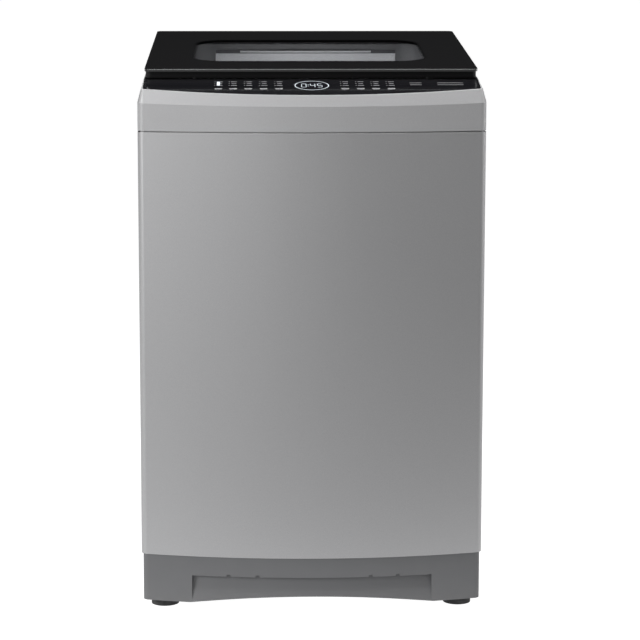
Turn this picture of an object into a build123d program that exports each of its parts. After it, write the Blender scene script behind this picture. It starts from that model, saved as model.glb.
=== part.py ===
from build123d import *

import os
from math import atan2, cos, degrees, radians, sin

# Top load washing machine, millimetres.
# Origin: centre of the outline on the floor. +Z up, front faces -Y, +X to the right.

# ---------------------------------------------------------------- cabinet outline
WIDTH = 590.0
HALF_WIDTH = WIDTH / 2
FRONT_APEX_Y = -310.0
FRONT_CORNER_Y = -270.0
REAR_Y = 298.0
CORNER_RADIUS = 14.0
LIMIT_Y = 310.0  # hose and cord fittings reach this far back

# ---------------------------------------------------------------- levels
BASE_BOTTOM_Z = 25.0
BASE_TOP_Z = 107.5
SHELL_TOP_Z = 837.0
COVER_BOTTOM_Z = 839.0
SKY_Z = 1100.0

# ---------------------------------------------------------------- fits
GAP = 0.3  # between pieces of different bodies
JOIN_GAP = 0.2  # between curved skins of one body
RUNNING = 0.06  # radial, shaft in a bore

# ---------------------------------------------------------------- sheet metal
SHEET = 1.2
REAR_FLANGE = 25.0
PANEL_TOP_Z = 836.5
CORNER_PLATE_Z = 806.0
CORNER_PLATE_THICKNESS = 4.0
CORNER_PLATE_SIDE = 80.0

# ---------------------------------------------------------------- plastic base
BASE_INSET = 3.0
BASE_WALL = 4.0
ARCH_HALF_CHORD = 210.0
ARCH_RISE = 14.0
TOE_HALF_WIDTH = 207.0
TOE_TOP_Z = 73.0
TOE_LOW_Z = 29.0
TOE_DEPTH = 9.0
TOE_NOTCHES_X = (-144.0, -94.0, 101.0, 148.0)
TOE_NOTCH_WIDTH = 7.0
TOE_NOTCH_HEIGHT = 3.5
BASE_RIM_HEIGHT = 14.0
RIB = 4.0
RIBS_Y = (20.0, 180.0)
RIBS_X = (-60.0, 170.0)
RIB_LOW_Z = 62.0
RIB_TOP_Z = 106.0

# ---------------------------------------------------------------- feet
FOOT_X = 256.0
FOOT_FRONT_Y = -230.0
FOOT_REAR_Y = 258.0
FOOT_RADIUS = 24.0
FOOT_TOP_RADIUS = 21.0
FLOOR_Z = 9.0  # heights are drawn from a datum this far under the floor
FOOT_TOP_Z = 25.0
FOOT_SHOULDER = 6.0
STEM_RADIUS = 5.0
STEM_TOP_Z = 84.0
BOSS_RADIUS = 26.0
BOSS_LOW_Z = 40.0
BOSS_TOP_Z = 66.0
LOCKNUT_ACROSS = 17.0
LOCKNUT_HEIGHT = 8.0
REAR_FOOT_TOP_Z = 40.0

# ---------------------------------------------------------------- top cover and lid bed
BED_Y = -204.0
BED_Z = 922.0
BED_SLOPE = 6.2
FACET_DEPTH = 29.0
FACET_INSET = 8.0
COVER_WALL = 3.0
CONSOLE_SLOPE = 12.5
FASCIA_THICKNESS = 3.0
FASCIA_BACKING = 2.5
FASCIA_INSET = 9.3
SKIRT_INSET = 4.5
SKIRT_THICKNESS = 2.5
SKIRT_LOW_Z = 826.0
SHELF_START = 462.0  # along the bed, from its front edge
SHELF_DROP = 18.0

# ---------------------------------------------------------------- loading opening
OPENING_HALF_X = 228.0
OPENING_FRONT_Y = -165.0
OPENING_REAR_Y = 235.0
OPENING_RADIUS = 50.0
FUNNEL_WALL = 3.0
FUNNEL_LOW_Z = 850.0
FUNNEL_FLANGE = 9.0
FUNNEL_FLANGE_THICKNESS = 1.8

# ---------------------------------------------------------------- lid, along and above the bed
LID_HALF_X = 285.5
LID_FRONT = -2.0
LID_REAR = 503.0
GLASS_LOW = 14.0
GLASS_TOP = 18.5
GLASS_CORNER = 9.0
LID_FRAME_HALF_X = 284.0
LID_FRAME_FRONT = 10.0
LID_FRAME_REAR = 500.0
LID_FRAME_LOW = 2.0
LID_RIM = 6.0
LID_FLANGE = 3.0
WINDOW_HALF_X = 213.0
WINDOW_FRONT = 91.0
WINDOW_REAR = 383.0
WINDOW_RADIUS = 50.0
BUMPER_RADIUS = 5.0
BUMPERS = ((-200.0, 13.0), (200.0, 13.0), (-277.5, 250.0), (277.5, 250.0))

# ---------------------------------------------------------------- lid hinge
PIVOT_ALONG = 486.0
PIVOT_ABOVE = 5.0
HINGE_X = 190.0
PIN_RADIUS = 3.0
PIN_LENGTH = 27.0
KNUCKLE_RADIUS = 5.5
KNUCKLE_HALF = 8.0
CHEEK_INNER = 8.9
CHEEK_THICKNESS = 2.5
CHEEK_RADIUS = 5.0
CHEEK_SLOT = 0.7
BRACKET_BASE = 2.5
BRACKET_LENGTH = 14.0

# ---------------------------------------------------------------- console
DISPLAY_RADIUS = 29.0
DISPLAY_ALONG = -38.0
KEYS_X = (-158.0, -133.5, -107.5, -82.0, -56.0, 56.0, 82.0, 108.0, 134.0)
KEY_ALONG = -60.0
KEY_RADIUS = 8.0
KEY_PROUD = 0.5
KEY_BOTTOM = -8.6
KEY_FLANGE_RADIUS = 9.8
KEY_FLANGE_TOP = -6.3
KEY_FLANGE_THICKNESS = 1.2
BOARD_HALF_X = 190.0
BOARD_FRONT = -74.0
BOARD_REAR = -6.0
BOARD_TOP = -12.4
BOARD_THICKNESS = 1.6
SWITCH_SIDE = 6.0
SWITCH_HEIGHT = 2.6
DISPLAY_MODULE_HEIGHT = 5.5

# ---------------------------------------------------------------- detergent drawer
DRAWER_HALF_X = 171.7
DRAWER_LOW_Z = 903.5
DRAWER_TOP_Z = 953.5
DRAWER_CAP_Z = 960.5
DRAWER_LIP_HALF_X = 125.0
DRAWER_LIP_LOW_Z = 955.0
DRAWER_LIP_HIGH_Z = 958.5
DRAWER_LIP_REACH = 7.0
TRAY_HALF_X = 164.0
TRAY_LOW_Z = 906.0
TRAY_TOP_Z = 940.0
TRAY_REAR_Y = 284.0
TRAY_WALL = 2.0
TRAY_DIVIDER_X = 60.0
HOUSING_HALF_X = 168.5
HOUSING_LOW_Z = 901.0
HOUSING_TOP_Z = 948.0
HOUSING_FRONT_Y = 238.6
HOUSING_REAR_Y = 291.0
HOUSING_WALL = 2.2
SPOUT_HALF_X = 40.0
SPOUT_DEPTH = 14.0

# ---------------------------------------------------------------- water in
VALVE_X = 225.0
VALVE_Z = 888.0
THREAD_RADIUS = 13.2
THREAD_BORE = 9.5
THREAD_START = 0.5
VALVE_BODY = (34.0, 34.0, 30.0)
COIL_RADIUS = 14.0
COIL_HEIGHT = 25.0
FEED_RADIUS = 9.0
FEED_BORE = 6.5
FEED_Y = 268.0
FEED_Z = 925.0

# ---------------------------------------------------------------- tub unit
TUB_Y = 10.0
TUB_RADIUS = 258.0
TUB_WALL = 3.0
TUB_FLOOR_Z = 330.0
TUB_FLOOR = 4.0
TUB_TOP_Z = 790.0
TUB_BEAD = 4.0
TUB_BEADS_Z = (470.0, 600.0, 720.0)
TUB_RING_TOP_Z = 802.0
TUB_RING_INNER = 246.0
TUB_RING_OUTER = 263.0
TUB_RING_SKIRT = 12.0
TUB_BOSS_RADIUS = 14.0
TUB_BOSS_REACH = 165.0
HUB_HOLE_RADIUS = 30.0
LUG_LOW_Z = 398.0
LUG_THICKNESS = 14.0
LUG_WIDTH = 38.0
LUG_HOLE = 7.0
SUMP_X = -150.0
SUMP_Y = -80.0
SUMP_RADIUS = 20.0
SUMP_BORE = 16.0
SUMP_LENGTH = 16.0
TRAP_X = -278.0
TRAP_Y = 60.0
TRAP_LOW_Z = 345.0
TRAP_TOP_Z = 415.0
TRAP_WIDTH = 22.0

# ---------------------------------------------------------------- suspension
ROD_X = 245.0
ROD_FRONT_Y = -215.0
ROD_REAR_Y = 250.0
ROD_RADIUS = 4.0
ROD_LOW_Z = 302.0
ROD_SEAT_RADIUS = 15.0
ROD_SEAT_HEIGHT = 11.0
ROD_HEAD_RADIUS = 8.0
ROD_CAP_RADIUS = 16.0
ROD_CAP_TOP_Z = 318.0
SPRING_TOP_Z = 384.0
SPRING_RADIUS = 12.0
SPRING_WIRE = 1.8
SPRING_TURNS = 6
CUP_RADIUS = 17.0
CUP_HOLE = 6.0

# ---------------------------------------------------------------- basket
BASKET_RADIUS = 236.0
BASKET_WALL = 1.2
BASKET_LOW_Z = 345.0
BASKET_TOP_Z = 745.0
BASE_DISC = 7.0
BASE_RING_INNER = 178.0
BASE_RING_Z = 368.0
RING_OUTER = 239.0
RING_INNER = 206.0
RING_TOP_Z = 785.0
SPIN_TUBE_RADIUS = 15.0
SPIN_TUBE_LOW_Z = 236.0
HUB_FLANGE_RADIUS = 60.0
HUB_FLANGE = 4.0

# ---------------------------------------------------------------- pulsator and drive
PULSATOR_RADIUS = 172.0
PULSATOR_LOW_Z = 357.0
PULSATOR_RIM = 6.0
PULSATOR_DOME = 22.0
VANE_COUNT = 4
VANE_TOP_Z = 398.0
VANE_THICKNESS = 16.0
CAP_RADIUS = 34.0
CAP_TOP_Z = 404.0
SHAFT_RADIUS = 10.0
SHAFT_LOW_Z = 180.0
SHAFT_TOP_Z = 378.0
BRACKET_LOW_Z = 318.0
BRACKET_PLATE = 6.0
BRACKET_BAR_WIDTH = 36.0
BRACKET_BAR_LENGTH = 370.0
BRACKET_DISC = 92.0
GEARCASE_RADIUS = 70.0
GEARCASE_LOW_Z = 228.0
GEARCASE_NECK = 34.0
MOTOR_X = 175.0
MOTOR_RADIUS = 60.0
MOTOR_LOW_Z = 226.0
MOTOR_SHAFT_RADIUS = 7.0
MOTOR_SHAFT_LOW_Z = 184.0
PULLEY_LOW_Z = 187.0
PULLEY_TOP_Z = 206.0
GROOVE_LOW_Z = 191.0
GROOVE_TOP_Z = 202.0
DRIVE_PULLEY_RADIUS = 85.0
MOTOR_PULLEY_RADIUS = 25.0
GROOVE_DEPTH = 6.0
BELT_THICKNESS = 6.0
BELT_LOW_Z = 192.0
BELT_TOP_Z = 201.0

# ---------------------------------------------------------------- drain
PUMP_RADIUS = 34.0
PUMP_LOW_Z = 32.0
PUMP_VOLUTE_TOP_Z = 74.0
PUMP_INLET_TOP_Z = 102.0
PUMP_MOTOR_LENGTH = 60.0
PUMP_TRAY_LOW_Z = 27.0
PUMP_TRAY_FRONT_Y = -150.0
HOSE_RADIUS = 13.0
HOSE_BORE = 10.0
OUTLET_X = -225.0
OUTLET_Z = 190.0
OUTLET_RADIUS = 11.0
OUTLET_BORE = 8.5
BELLOWS_RADIUS = 24.0
BELLOWS_FOLDS = 9

# ---------------------------------------------------------------- small fittings
GLAND_X = 225.0
GLAND_Z = 760.0
GLAND_RADIUS = 11.0
GLAND_BORE = 4.5
SENSOR_RADIUS = 22.0
SENSOR_LOW_Z = 872.0
SENSOR_HEIGHT = 20.0
TUBE_RADIUS = 3.0
TUBE_BORE = 1.6
SCREW_HEAD_RADIUS = 4.5
SCREW_HEAD = 2.2
SCREW_SHANK_RADIUS = 2.0
SCREW_HOLE = 2.3
SCREW_LENGTH = 9.0
SCREW_X = 282.5
SCREWS_Z = (160.0, 390.0, 600.0, 800.0)

UPWARD = (Align.CENTER, Align.CENTER, Align.MIN)
DOWNWARD = (Align.CENTER, Align.CENTER, Align.MAX)


# ================================================================ helpers
def box_between(x0, x1, y0, y1, z0, z1):
    """An upright block between two corners."""
    corner = (Align.MIN, Align.MIN, Align.MIN)
    return Pos(x0, y0, z0) * Box(x1 - x0, y1 - y0, z1 - z0, align=corner)


def rod_between(x, y, z0, z1, radius):
    """An upright solid cylinder."""
    return Pos(x, y, z0) * Cylinder(radius, z1 - z0, align=UPWARD)


def tube_between(x, y, z0, z1, outer, inner):
    """An upright tube."""
    return rod_between(x, y, z0, z1, outer) - rod_between(x, y, z0 - 1, z1 + 1, inner)


def rearward_rod(x, y0, y1, z, radius):
    """A solid cylinder along Y."""
    return Pos(x, y0, z) * Rot(-90, 0, 0) * Cylinder(radius, y1 - y0, align=UPWARD)


def sideways_rod(x0, x1, y, z, radius):
    """A solid cylinder along X."""
    return Pos(x0, y, z) * Rot(0, 90, 0) * Cylinder(radius, x1 - x0, align=UPWARD)


def hexagon_prism(x, y, z0, z1, across):
    """An upright hexagon nut blank."""
    face = Pos(x, y, z0) * RegularPolygon(across / 2, 6, major_radius=False)
    return extrude(face, amount=z1 - z0)


def outline(inset):
    """The machine's plan: straight sides and rear, bowed front, rounded corners."""
    side = HALF_WIDTH - inset
    corner = FRONT_CORNER_Y + inset
    apex = FRONT_APEX_Y + inset
    rear = REAR_Y - inset
    front = ThreePointArc((-side, corner), (0, apex), (side, corner))
    right = Line((side, corner), (side, rear))
    back = Line((side, rear), (-side, rear))
    left = Line((-side, rear), (-side, corner))
    plan = make_face([front, right, back, left])
    return fillet(plan.vertices(), max(CORNER_RADIUS - inset, 3.0))


def prism(inset, z0, z1):
    """The outline raised between two levels."""
    return extrude(Pos(0, 0, z0) * outline(inset), amount=z1 - z0)


def sloped_plane(slope):
    """A plane through the lid bed's front edge, rising to the rear."""
    tilt = radians(slope)
    return Plane(origin=(0, BED_Y, BED_Z), x_dir=(1, 0, 0), z_dir=(0, -sin(tilt), cos(tilt)))


BED = sloped_plane(BED_SLOPE)
CONSOLE = sloped_plane(CONSOLE_SLOPE)


def under(plane, height):
    """Everything below a level measured square to a plane."""
    return plane * Pos(0, 0, height) * Box(2000, 2000, 2000, align=DOWNWARD)


def over(plane, height):
    """Everything above a level measured square to a plane."""
    return plane * Pos(0, 0, height) * Box(2000, 2000, 2000, align=UPWARD)


def bed_box(x0, x1, v0, v1, w0, w1):
    """A block stated along and above the lid bed."""
    corner = (Align.MIN, Align.MIN, Align.MIN)
    return BED * Pos(x0, v0, w0) * Box(x1 - x0, v1 - v0, w1 - w0, align=corner)


def rounded_plate(plane, half_x, v0, v1, radius, w0, w1):
    """A rounded rectangle plate stated along and above a plane."""
    face = Pos(0, (v0 + v1) / 2) * RectangleRounded(2 * half_x, v1 - v0, radius)
    return plane * Pos(0, 0, w0) * extrude(face, amount=w1 - w0)


def opening_prism(grow, z0, z1):
    """The loading opening's rounded rectangle, grown and raised."""
    width = 2 * (OPENING_HALF_X + grow)
    depth = OPENING_REAR_Y - OPENING_FRONT_Y + 2 * grow
    middle = (OPENING_REAR_Y + OPENING_FRONT_Y) / 2
    face = RectangleRounded(width, depth, OPENING_RADIUS + grow)
    return extrude(Pos(0, middle, z0) * face, amount=z1 - z0)


def console_rod(x, along, w0, w1, radius):
    """A cylinder square to the console."""
    return CONSOLE * Pos(x, along, w0) * Cylinder(radius, w1 - w0, align=UPWARD)


def rod_places():
    """The four suspension rods in plan."""
    return [(side * ROD_X, y) for side in (-1, 1) for y in (ROD_FRONT_Y, ROD_REAR_Y)]


def write(node, shape):
    """One STEP file per node, lowered so that the floor is at zero."""
    solids = [Pos(0, 0, -FLOOR_Z) * solid for solid in shape.solids()]
    lowered = Compound(children=solids) if len(solids) > 1 else solids[0]
    export_step(lowered, f"parts/{node}.step")


# ================================================================ cabinet
def cabinet_shell():
    """Painted steel wrap: bowed front, two sides and the rear flanges."""
    shell = prism(0, BASE_TOP_Z, SHELL_TOP_Z) - prism(SHEET, BASE_TOP_Z - 1, SHELL_TOP_Z + 1)
    reach = HALF_WIDTH - REAR_FLANGE
    shell -= box_between(-reach, reach, REAR_Y - 8, REAR_Y + 8, BASE_TOP_Z - 1, SHELL_TOP_Z + 1)
    for side in (-1, 1):
        for z in SCREWS_Z:
            shell -= rearward_rod(side * SCREW_X, REAR_Y - 8, REAR_Y + 8, z, SCREW_HOLE)
    return shell


def rear_panel():
    """Flat steel back, lapped inside the shell's flanges."""
    half = HALF_WIDTH - 15.0
    outer = REAR_Y - SHEET - JOIN_GAP
    low = BASE_TOP_Z + BASE_RIM_HEIGHT + 4
    panel = box_between(-half, half, outer - SHEET, outer, low, PANEL_TOP_Z)
    for x in (-90.0, 90.0):
        panel += box_between(x - 45, x + 45, outer, outer + 2.0, 260, 700)
        panel -= box_between(x - 43, x + 43, outer - 3.0, outer + 0.8, 262, 698)
        panel += box_between(x - 43, x + 43, outer + 0.8, outer + 2.0, 262, 698)
    panel -= rearward_rod(OUTLET_X, outer - 4, outer + 4, OUTLET_Z, OUTLET_RADIUS + 0.1)
    panel -= rearward_rod(GLAND_X, outer - 4, outer + 4, GLAND_Z, GLAND_RADIUS + 0.1)
    for side in (-1, 1):
        for z in SCREWS_Z:
            panel -= rearward_rod(side * SCREW_X, outer - 4, outer + 4, z, SCREW_HOLE)
    return panel


def panel_screws():
    """Eight identical screws that hold the back on."""
    screws = []
    for side in (-1, 1):
        for z in SCREWS_Z:
            head = rearward_rod(side * SCREW_X, REAR_Y, REAR_Y + SCREW_HEAD, z, SCREW_HEAD_RADIUS)
            shank = rearward_rod(side * SCREW_X, REAR_Y - SCREW_LENGTH, REAR_Y, z, SCREW_SHANK_RADIUS)
            screws.append(head + shank)
    return Compound(children=[screw.solid() for screw in screws])


def corner_plates():
    """Four steel plates in the cabinet's corners that carry the suspension rods."""
    room = prism(SHEET + JOIN_GAP, CORNER_PLATE_Z - 1, SKIRT_LOW_Z)
    top = CORNER_PLATE_Z + CORNER_PLATE_THICKNESS
    plates = []
    for x, y in rod_places():
        x_in = x - 33.0 if x > 0 else x + 33.0
        x_out = x_in + CORNER_PLATE_SIDE if x > 0 else x_in - CORNER_PLATE_SIDE
        y_in = y - 34.0 if y > 0 else y + 30.0
        y_out = REAR_Y - 2 * SHEET - 2 * JOIN_GAP if y > 0 else FRONT_APEX_Y
        xs = sorted((x_in, x_out))
        ys = sorted((y_in, y_out))
        plate = box_between(xs[0], xs[1], ys[0], ys[1], CORNER_PLATE_Z, top) & room
        plate -= rod_between(x, y, CORNER_PLATE_Z - 1, top + 1, ROD_RADIUS + 2)
        plates.append(plate.solid())
    return Compound(children=plates)


# ================================================================ base and feet
def arch_cutter():
    """Shallow arch under the front of the base."""
    radius = (ARCH_HALF_CHORD**2 + ARCH_RISE**2) / (2 * ARCH_RISE)
    centre = BASE_BOTTOM_Z + ARCH_RISE - radius
    return rearward_rod(0, FRONT_APEX_Y - 20, 0, centre, radius)


def toe_cutter():
    """The sloped toe panel: deepest at its top, flush at its foot."""
    half = TOE_HALF_WIDTH
    band = box_between(-half, half, FRONT_APEX_Y - 20, FRONT_CORNER_Y + 25, TOE_LOW_Z, TOE_TOP_Z)
    for x in TOE_NOTCHES_X:
        wide = TOE_NOTCH_WIDTH / 2
        low = TOE_TOP_Z - 1
        high = TOE_TOP_Z + TOE_NOTCH_HEIGHT
        band += box_between(x - wide, x + wide, FRONT_APEX_Y - 20, FRONT_CORNER_Y + 25, low, high)
    slope = degrees(atan2(TOE_DEPTH, TOE_TOP_Z - TOE_LOW_Z))
    foot = Pos(0, 0, TOE_LOW_Z) * outline(BASE_INSET)
    keep = extrude(foot, amount=TOE_TOP_Z + TOE_NOTCH_HEIGHT + 1 - TOE_LOW_Z, taper=slope)
    return band - keep


def base_frame():
    """Moulded base: outer wall, locating rim, foot bosses, ribs and pump tray."""
    low_wall = BASE_INSET + TOE_DEPTH + BASE_WALL + 1
    body = prism(BASE_INSET, BASE_BOTTOM_Z, BASE_TOP_Z)
    body -= prism(BASE_INSET + BASE_WALL, TOE_TOP_Z + 8, BASE_TOP_Z + 1)
    body -= prism(low_wall, BASE_BOTTOM_Z - 1, TOE_TOP_Z + 9)
    rim = prism(SHEET + JOIN_GAP, BASE_TOP_Z - 4, BASE_TOP_Z + BASE_RIM_HEIGHT)
    rim -= prism(BASE_INSET + BASE_WALL, BASE_TOP_Z - 5, BASE_TOP_Z + BASE_RIM_HEIGHT + 1)
    rim &= prism(BASE_INSET, BASE_TOP_Z - 5, BASE_TOP_Z) + prism(
        SHEET + JOIN_GAP, BASE_TOP_Z, BASE_TOP_Z + BASE_RIM_HEIGHT
    )
    body += rim
    body -= toe_cutter()
    room = prism(low_wall - 1, BASE_BOTTOM_Z, BASE_TOP_Z)
    for y in RIBS_Y:
        body += box_between(-HALF_WIDTH, HALF_WIDTH, y, y + RIB, RIB_LOW_Z, RIB_TOP_Z) & room
    for x in RIBS_X:
        body += box_between(x, x + RIB, FRONT_APEX_Y, REAR_Y, RIB_LOW_Z, RIB_TOP_Z) & room
    tray_end = RIBS_Y[0] + RIB
    tray_top = PUMP_TRAY_LOW_Z + RIB
    tray = box_between(-HALF_WIDTH, RIBS_X[0], PUMP_TRAY_FRONT_Y, tray_end, PUMP_TRAY_LOW_Z, tray_top)
    body += tray & room
    wall_end = RIBS_X[0] + RIB
    body += box_between(RIBS_X[0], wall_end, PUMP_TRAY_FRONT_Y, tray_end, PUMP_TRAY_LOW_Z, RIB_TOP_Z)
    for side in (-1, 1):
        for y in (FOOT_FRONT_Y, FOOT_REAR_Y):
            top = BOSS_TOP_Z
            body += rod_between(side * FOOT_X, y, BOSS_LOW_Z, top, BOSS_RADIUS) & room
            xs = sorted((side * (FOOT_X - 20), side * (HALF_WIDTH - low_wall + 1)))
            ys = sorted((y - 26, y + 26))
            body += box_between(xs[0], xs[1], ys[0], ys[1], BOSS_LOW_Z, BOSS_LOW_Z + 8) & room
            body -= rod_between(side * FOOT_X, y, BASE_BOTTOM_Z - 2, BOSS_LOW_Z, FOOT_RADIUS + 1.5)
            body -= rod_between(side * FOOT_X, y, BOSS_LOW_Z - 1, top + 1, STEM_RADIUS + RUNNING)
    body -= arch_cutter()
    return body


def levelling_foot(side):
    """A front foot: rubber pad on a threaded steel stem, turned to level the machine."""
    x = side * FOOT_X
    shoulder_z = FOOT_TOP_Z - FOOT_SHOULDER
    lower = rod_between(x, FOOT_FRONT_Y, FLOOR_Z, shoulder_z, FOOT_RADIUS)
    upper = Pos(x, FOOT_FRONT_Y, shoulder_z) * Cone(
        FOOT_RADIUS, FOOT_TOP_RADIUS, FOOT_SHOULDER, align=UPWARD
    )
    stem = rod_between(x, FOOT_FRONT_Y, FOOT_TOP_Z - 1, STEM_TOP_Z, STEM_RADIUS)
    collar = hexagon_prism(x, FOOT_FRONT_Y, FOOT_TOP_Z - 1, FOOT_TOP_Z + 5, LOCKNUT_ACROSS)
    return lower + upper + stem + collar


def foot_locknuts():
    """Two nuts that lock the levelling stems on top of the base."""
    nuts = []
    for side in (-1, 1):
        x = side * FOOT_X
        nut = hexagon_prism(x, FOOT_FRONT_Y, BOSS_TOP_Z, BOSS_TOP_Z + LOCKNUT_HEIGHT, LOCKNUT_ACROSS)
        nut -= rod_between(x, FOOT_FRONT_Y, BOSS_TOP_Z - 1, STEM_TOP_Z, STEM_RADIUS + RUNNING)
        nuts.append(nut.solid())
    return Compound(children=nuts)


def rear_feet():
    """Two fixed rubber feet."""
    feet = []
    for side in (-1, 1):
        x = side * FOOT_X
        pad = rod_between(x, FOOT_REAR_Y, FLOOR_Z, FOOT_TOP_Z, FOOT_RADIUS)
        neck = rod_between(x, FOOT_REAR_Y, FOOT_TOP_Z, REAR_FOOT_TOP_Z, FOOT_TOP_RADIUS)
        plug = rod_between(x, FOOT_REAR_Y, REAR_FOOT_TOP_Z, BOSS_TOP_Z, STEM_RADIUS)
        feet.append((pad + neck + plug).solid())
    return Compound(children=feet)


# ================================================================ top cover
def sloped_face(inset, height):
    """The outline as cut by a plane parallel to the lid bed."""
    block = prism(inset, COVER_BOTTOM_Z, SKY_Z) & under(BED, height)
    return block.faces().sort_by(Axis.Z)[-1]


def cover_envelope(inset, low):
    """Upright wall to the facet edge, then the leaning facet up to the lid bed."""
    wall = prism(inset, low, SKY_Z) & under(BED, -FACET_DEPTH)
    facet = loft([sloped_face(inset, -FACET_DEPTH), sloped_face(inset + FACET_INSET, 0)], ruled=True)
    return wall + facet


def shelf_block(drop, start):
    """The lowered ledge behind the lid bed that the hinges stand on."""
    return bed_box(-400, 400, start, 700, -drop, 200)


def console_block(depth, rear):
    """Everything in front of the lid bed and above a level of the console."""
    front = box_between(-400, 400, FRONT_APEX_Y - 50, rear, COVER_BOTTOM_Z, SKY_Z)
    return front & over(CONSOLE, -depth)


def top_cover():
    """Silver plastic cover with the lid bed, hinge ledge and console seat."""
    backing = FASCIA_THICKNESS + JOIN_GAP + FASCIA_BACKING
    body = cover_envelope(0, COVER_BOTTOM_Z)
    body -= console_block(0, BED_Y)
    body -= shelf_block(SHELF_DROP, SHELF_START)
    inner = cover_envelope(COVER_WALL, COVER_BOTTOM_Z - 1) & under(BED, -COVER_WALL)
    inner -= shelf_block(SHELF_DROP + COVER_WALL, SHELF_START - COVER_WALL)
    inner -= console_block(backing, BED_Y + COVER_WALL)
    body -= inner
    seat = prism(FASCIA_INSET - GAP, COVER_BOTTOM_Z, SKY_Z)
    seat &= console_block(FASCIA_THICKNESS + JOIN_GAP, BED_Y)
    body -= seat
    skirt = prism(SKIRT_INSET, SKIRT_LOW_Z, COVER_BOTTOM_Z + 6)
    skirt -= prism(SKIRT_INSET + SKIRT_THICKNESS, SKIRT_LOW_Z - 1, COVER_BOTTOM_Z + 7)
    ledge = prism(0.5, COVER_BOTTOM_Z, COVER_BOTTOM_Z + 2)
    ledge -= prism(SKIRT_INSET + SKIRT_THICKNESS, COVER_BOTTOM_Z - 1, COVER_BOTTOM_Z + 3)
    body += skirt + ledge
    body -= opening_prism(FUNNEL_WALL + JOIN_GAP, COVER_BOTTOM_Z, SKY_Z)
    for x in KEYS_X:
        body -= console_rod(x, KEY_ALONG, -backing - 1, 0, KEY_RADIUS + 0.5)
    body -= console_rod(0, DISPLAY_ALONG, -backing - 1, 0, DISPLAY_RADIUS - 3)
    body -= rearward_rod(VALVE_X, REAR_Y - 8, REAR_Y + 8, VALVE_Z, THREAD_RADIUS + 1)
    return body


def deck_funnel():
    """Dark inner collar of the loading opening, with the drawer's slot at its rear."""
    ring = opening_prism(FUNNEL_WALL, FUNNEL_LOW_Z, SKY_Z) & under(BED, 0)
    flange = opening_prism(FUNNEL_FLANGE, COVER_BOTTOM_Z, SKY_Z) & over(BED, 0)
    flange &= under(BED, FUNNEL_FLANGE_THICKNESS)
    ring += flange
    ring -= opening_prism(0, FUNNEL_LOW_Z - 1, SKY_Z)
    slot = DRAWER_HALF_X + GAP
    low = DRAWER_LOW_Z - GAP
    high = DRAWER_CAP_Z + GAP
    ring -= box_between(-slot, slot, OPENING_REAR_Y - 6, OPENING_REAR_Y + 8, low, high)
    return ring


def console_fascia():
    """Glossy black console plate."""
    plate = prism(FASCIA_INSET, COVER_BOTTOM_Z, SKY_Z)
    plate &= console_block(FASCIA_THICKNESS, BED_Y - GAP)
    plate &= under(CONSOLE, 0)
    for x in KEYS_X:
        plate -= console_rod(x, KEY_ALONG, -FASCIA_THICKNESS - 1, 1, KEY_RADIUS + GAP)
    plate -= console_rod(0, DISPLAY_ALONG, -FASCIA_THICKNESS - 1, 1, DISPLAY_RADIUS + JOIN_GAP)
    return plate


def display_window():
    """Round clear window of the display in the middle of the console."""
    return console_rod(0, DISPLAY_ALONG, -FASCIA_THICKNESS, 0, DISPLAY_RADIUS)


def console_key(x):
    """A round push key with a captive flange and a foot over its switch."""
    cap = console_rod(x, KEY_ALONG, KEY_BOTTOM, KEY_PROUD, KEY_RADIUS)
    low = KEY_FLANGE_TOP - KEY_FLANGE_THICKNESS
    return cap + console_rod(x, KEY_ALONG, low, KEY_FLANGE_TOP, KEY_FLANGE_RADIUS)


def control_board():
    """Circuit board under the console with its display module, switches and tray."""
    corner = (Align.MIN, Align.MIN, Align.MIN)
    width = 2 * BOARD_HALF_X
    depth = BOARD_REAR - BOARD_FRONT
    low = BOARD_TOP - BOARD_THICKNESS
    sheet = Box(width, depth, BOARD_THICKNESS, align=corner)
    board = CONSOLE * Pos(-BOARD_HALF_X, BOARD_FRONT, low) * sheet
    for x in KEYS_X:
        spot = CONSOLE * Pos(x, KEY_ALONG, BOARD_TOP)
        board += spot * Box(SWITCH_SIDE, SWITCH_SIDE, SWITCH_HEIGHT, align=UPWARD)
    module = CONSOLE * Pos(0, DISPLAY_ALONG, BOARD_TOP)
    board += module * Box(44, 26, DISPLAY_MODULE_HEIGHT, align=UPWARD)
    for x in (-120.0, -40.0, 60.0, 130.0):
        board += CONSOLE * Pos(x, -28, low) * Box(26, 18, 9, align=DOWNWARD)
    return board


# ================================================================ lid
def lid_glass():
    """Flat glass of the lid."""
    return rounded_plate(BED, LID_HALF_X, LID_FRONT, LID_REAR, GLASS_CORNER, GLASS_LOW, GLASS_TOP)


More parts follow.
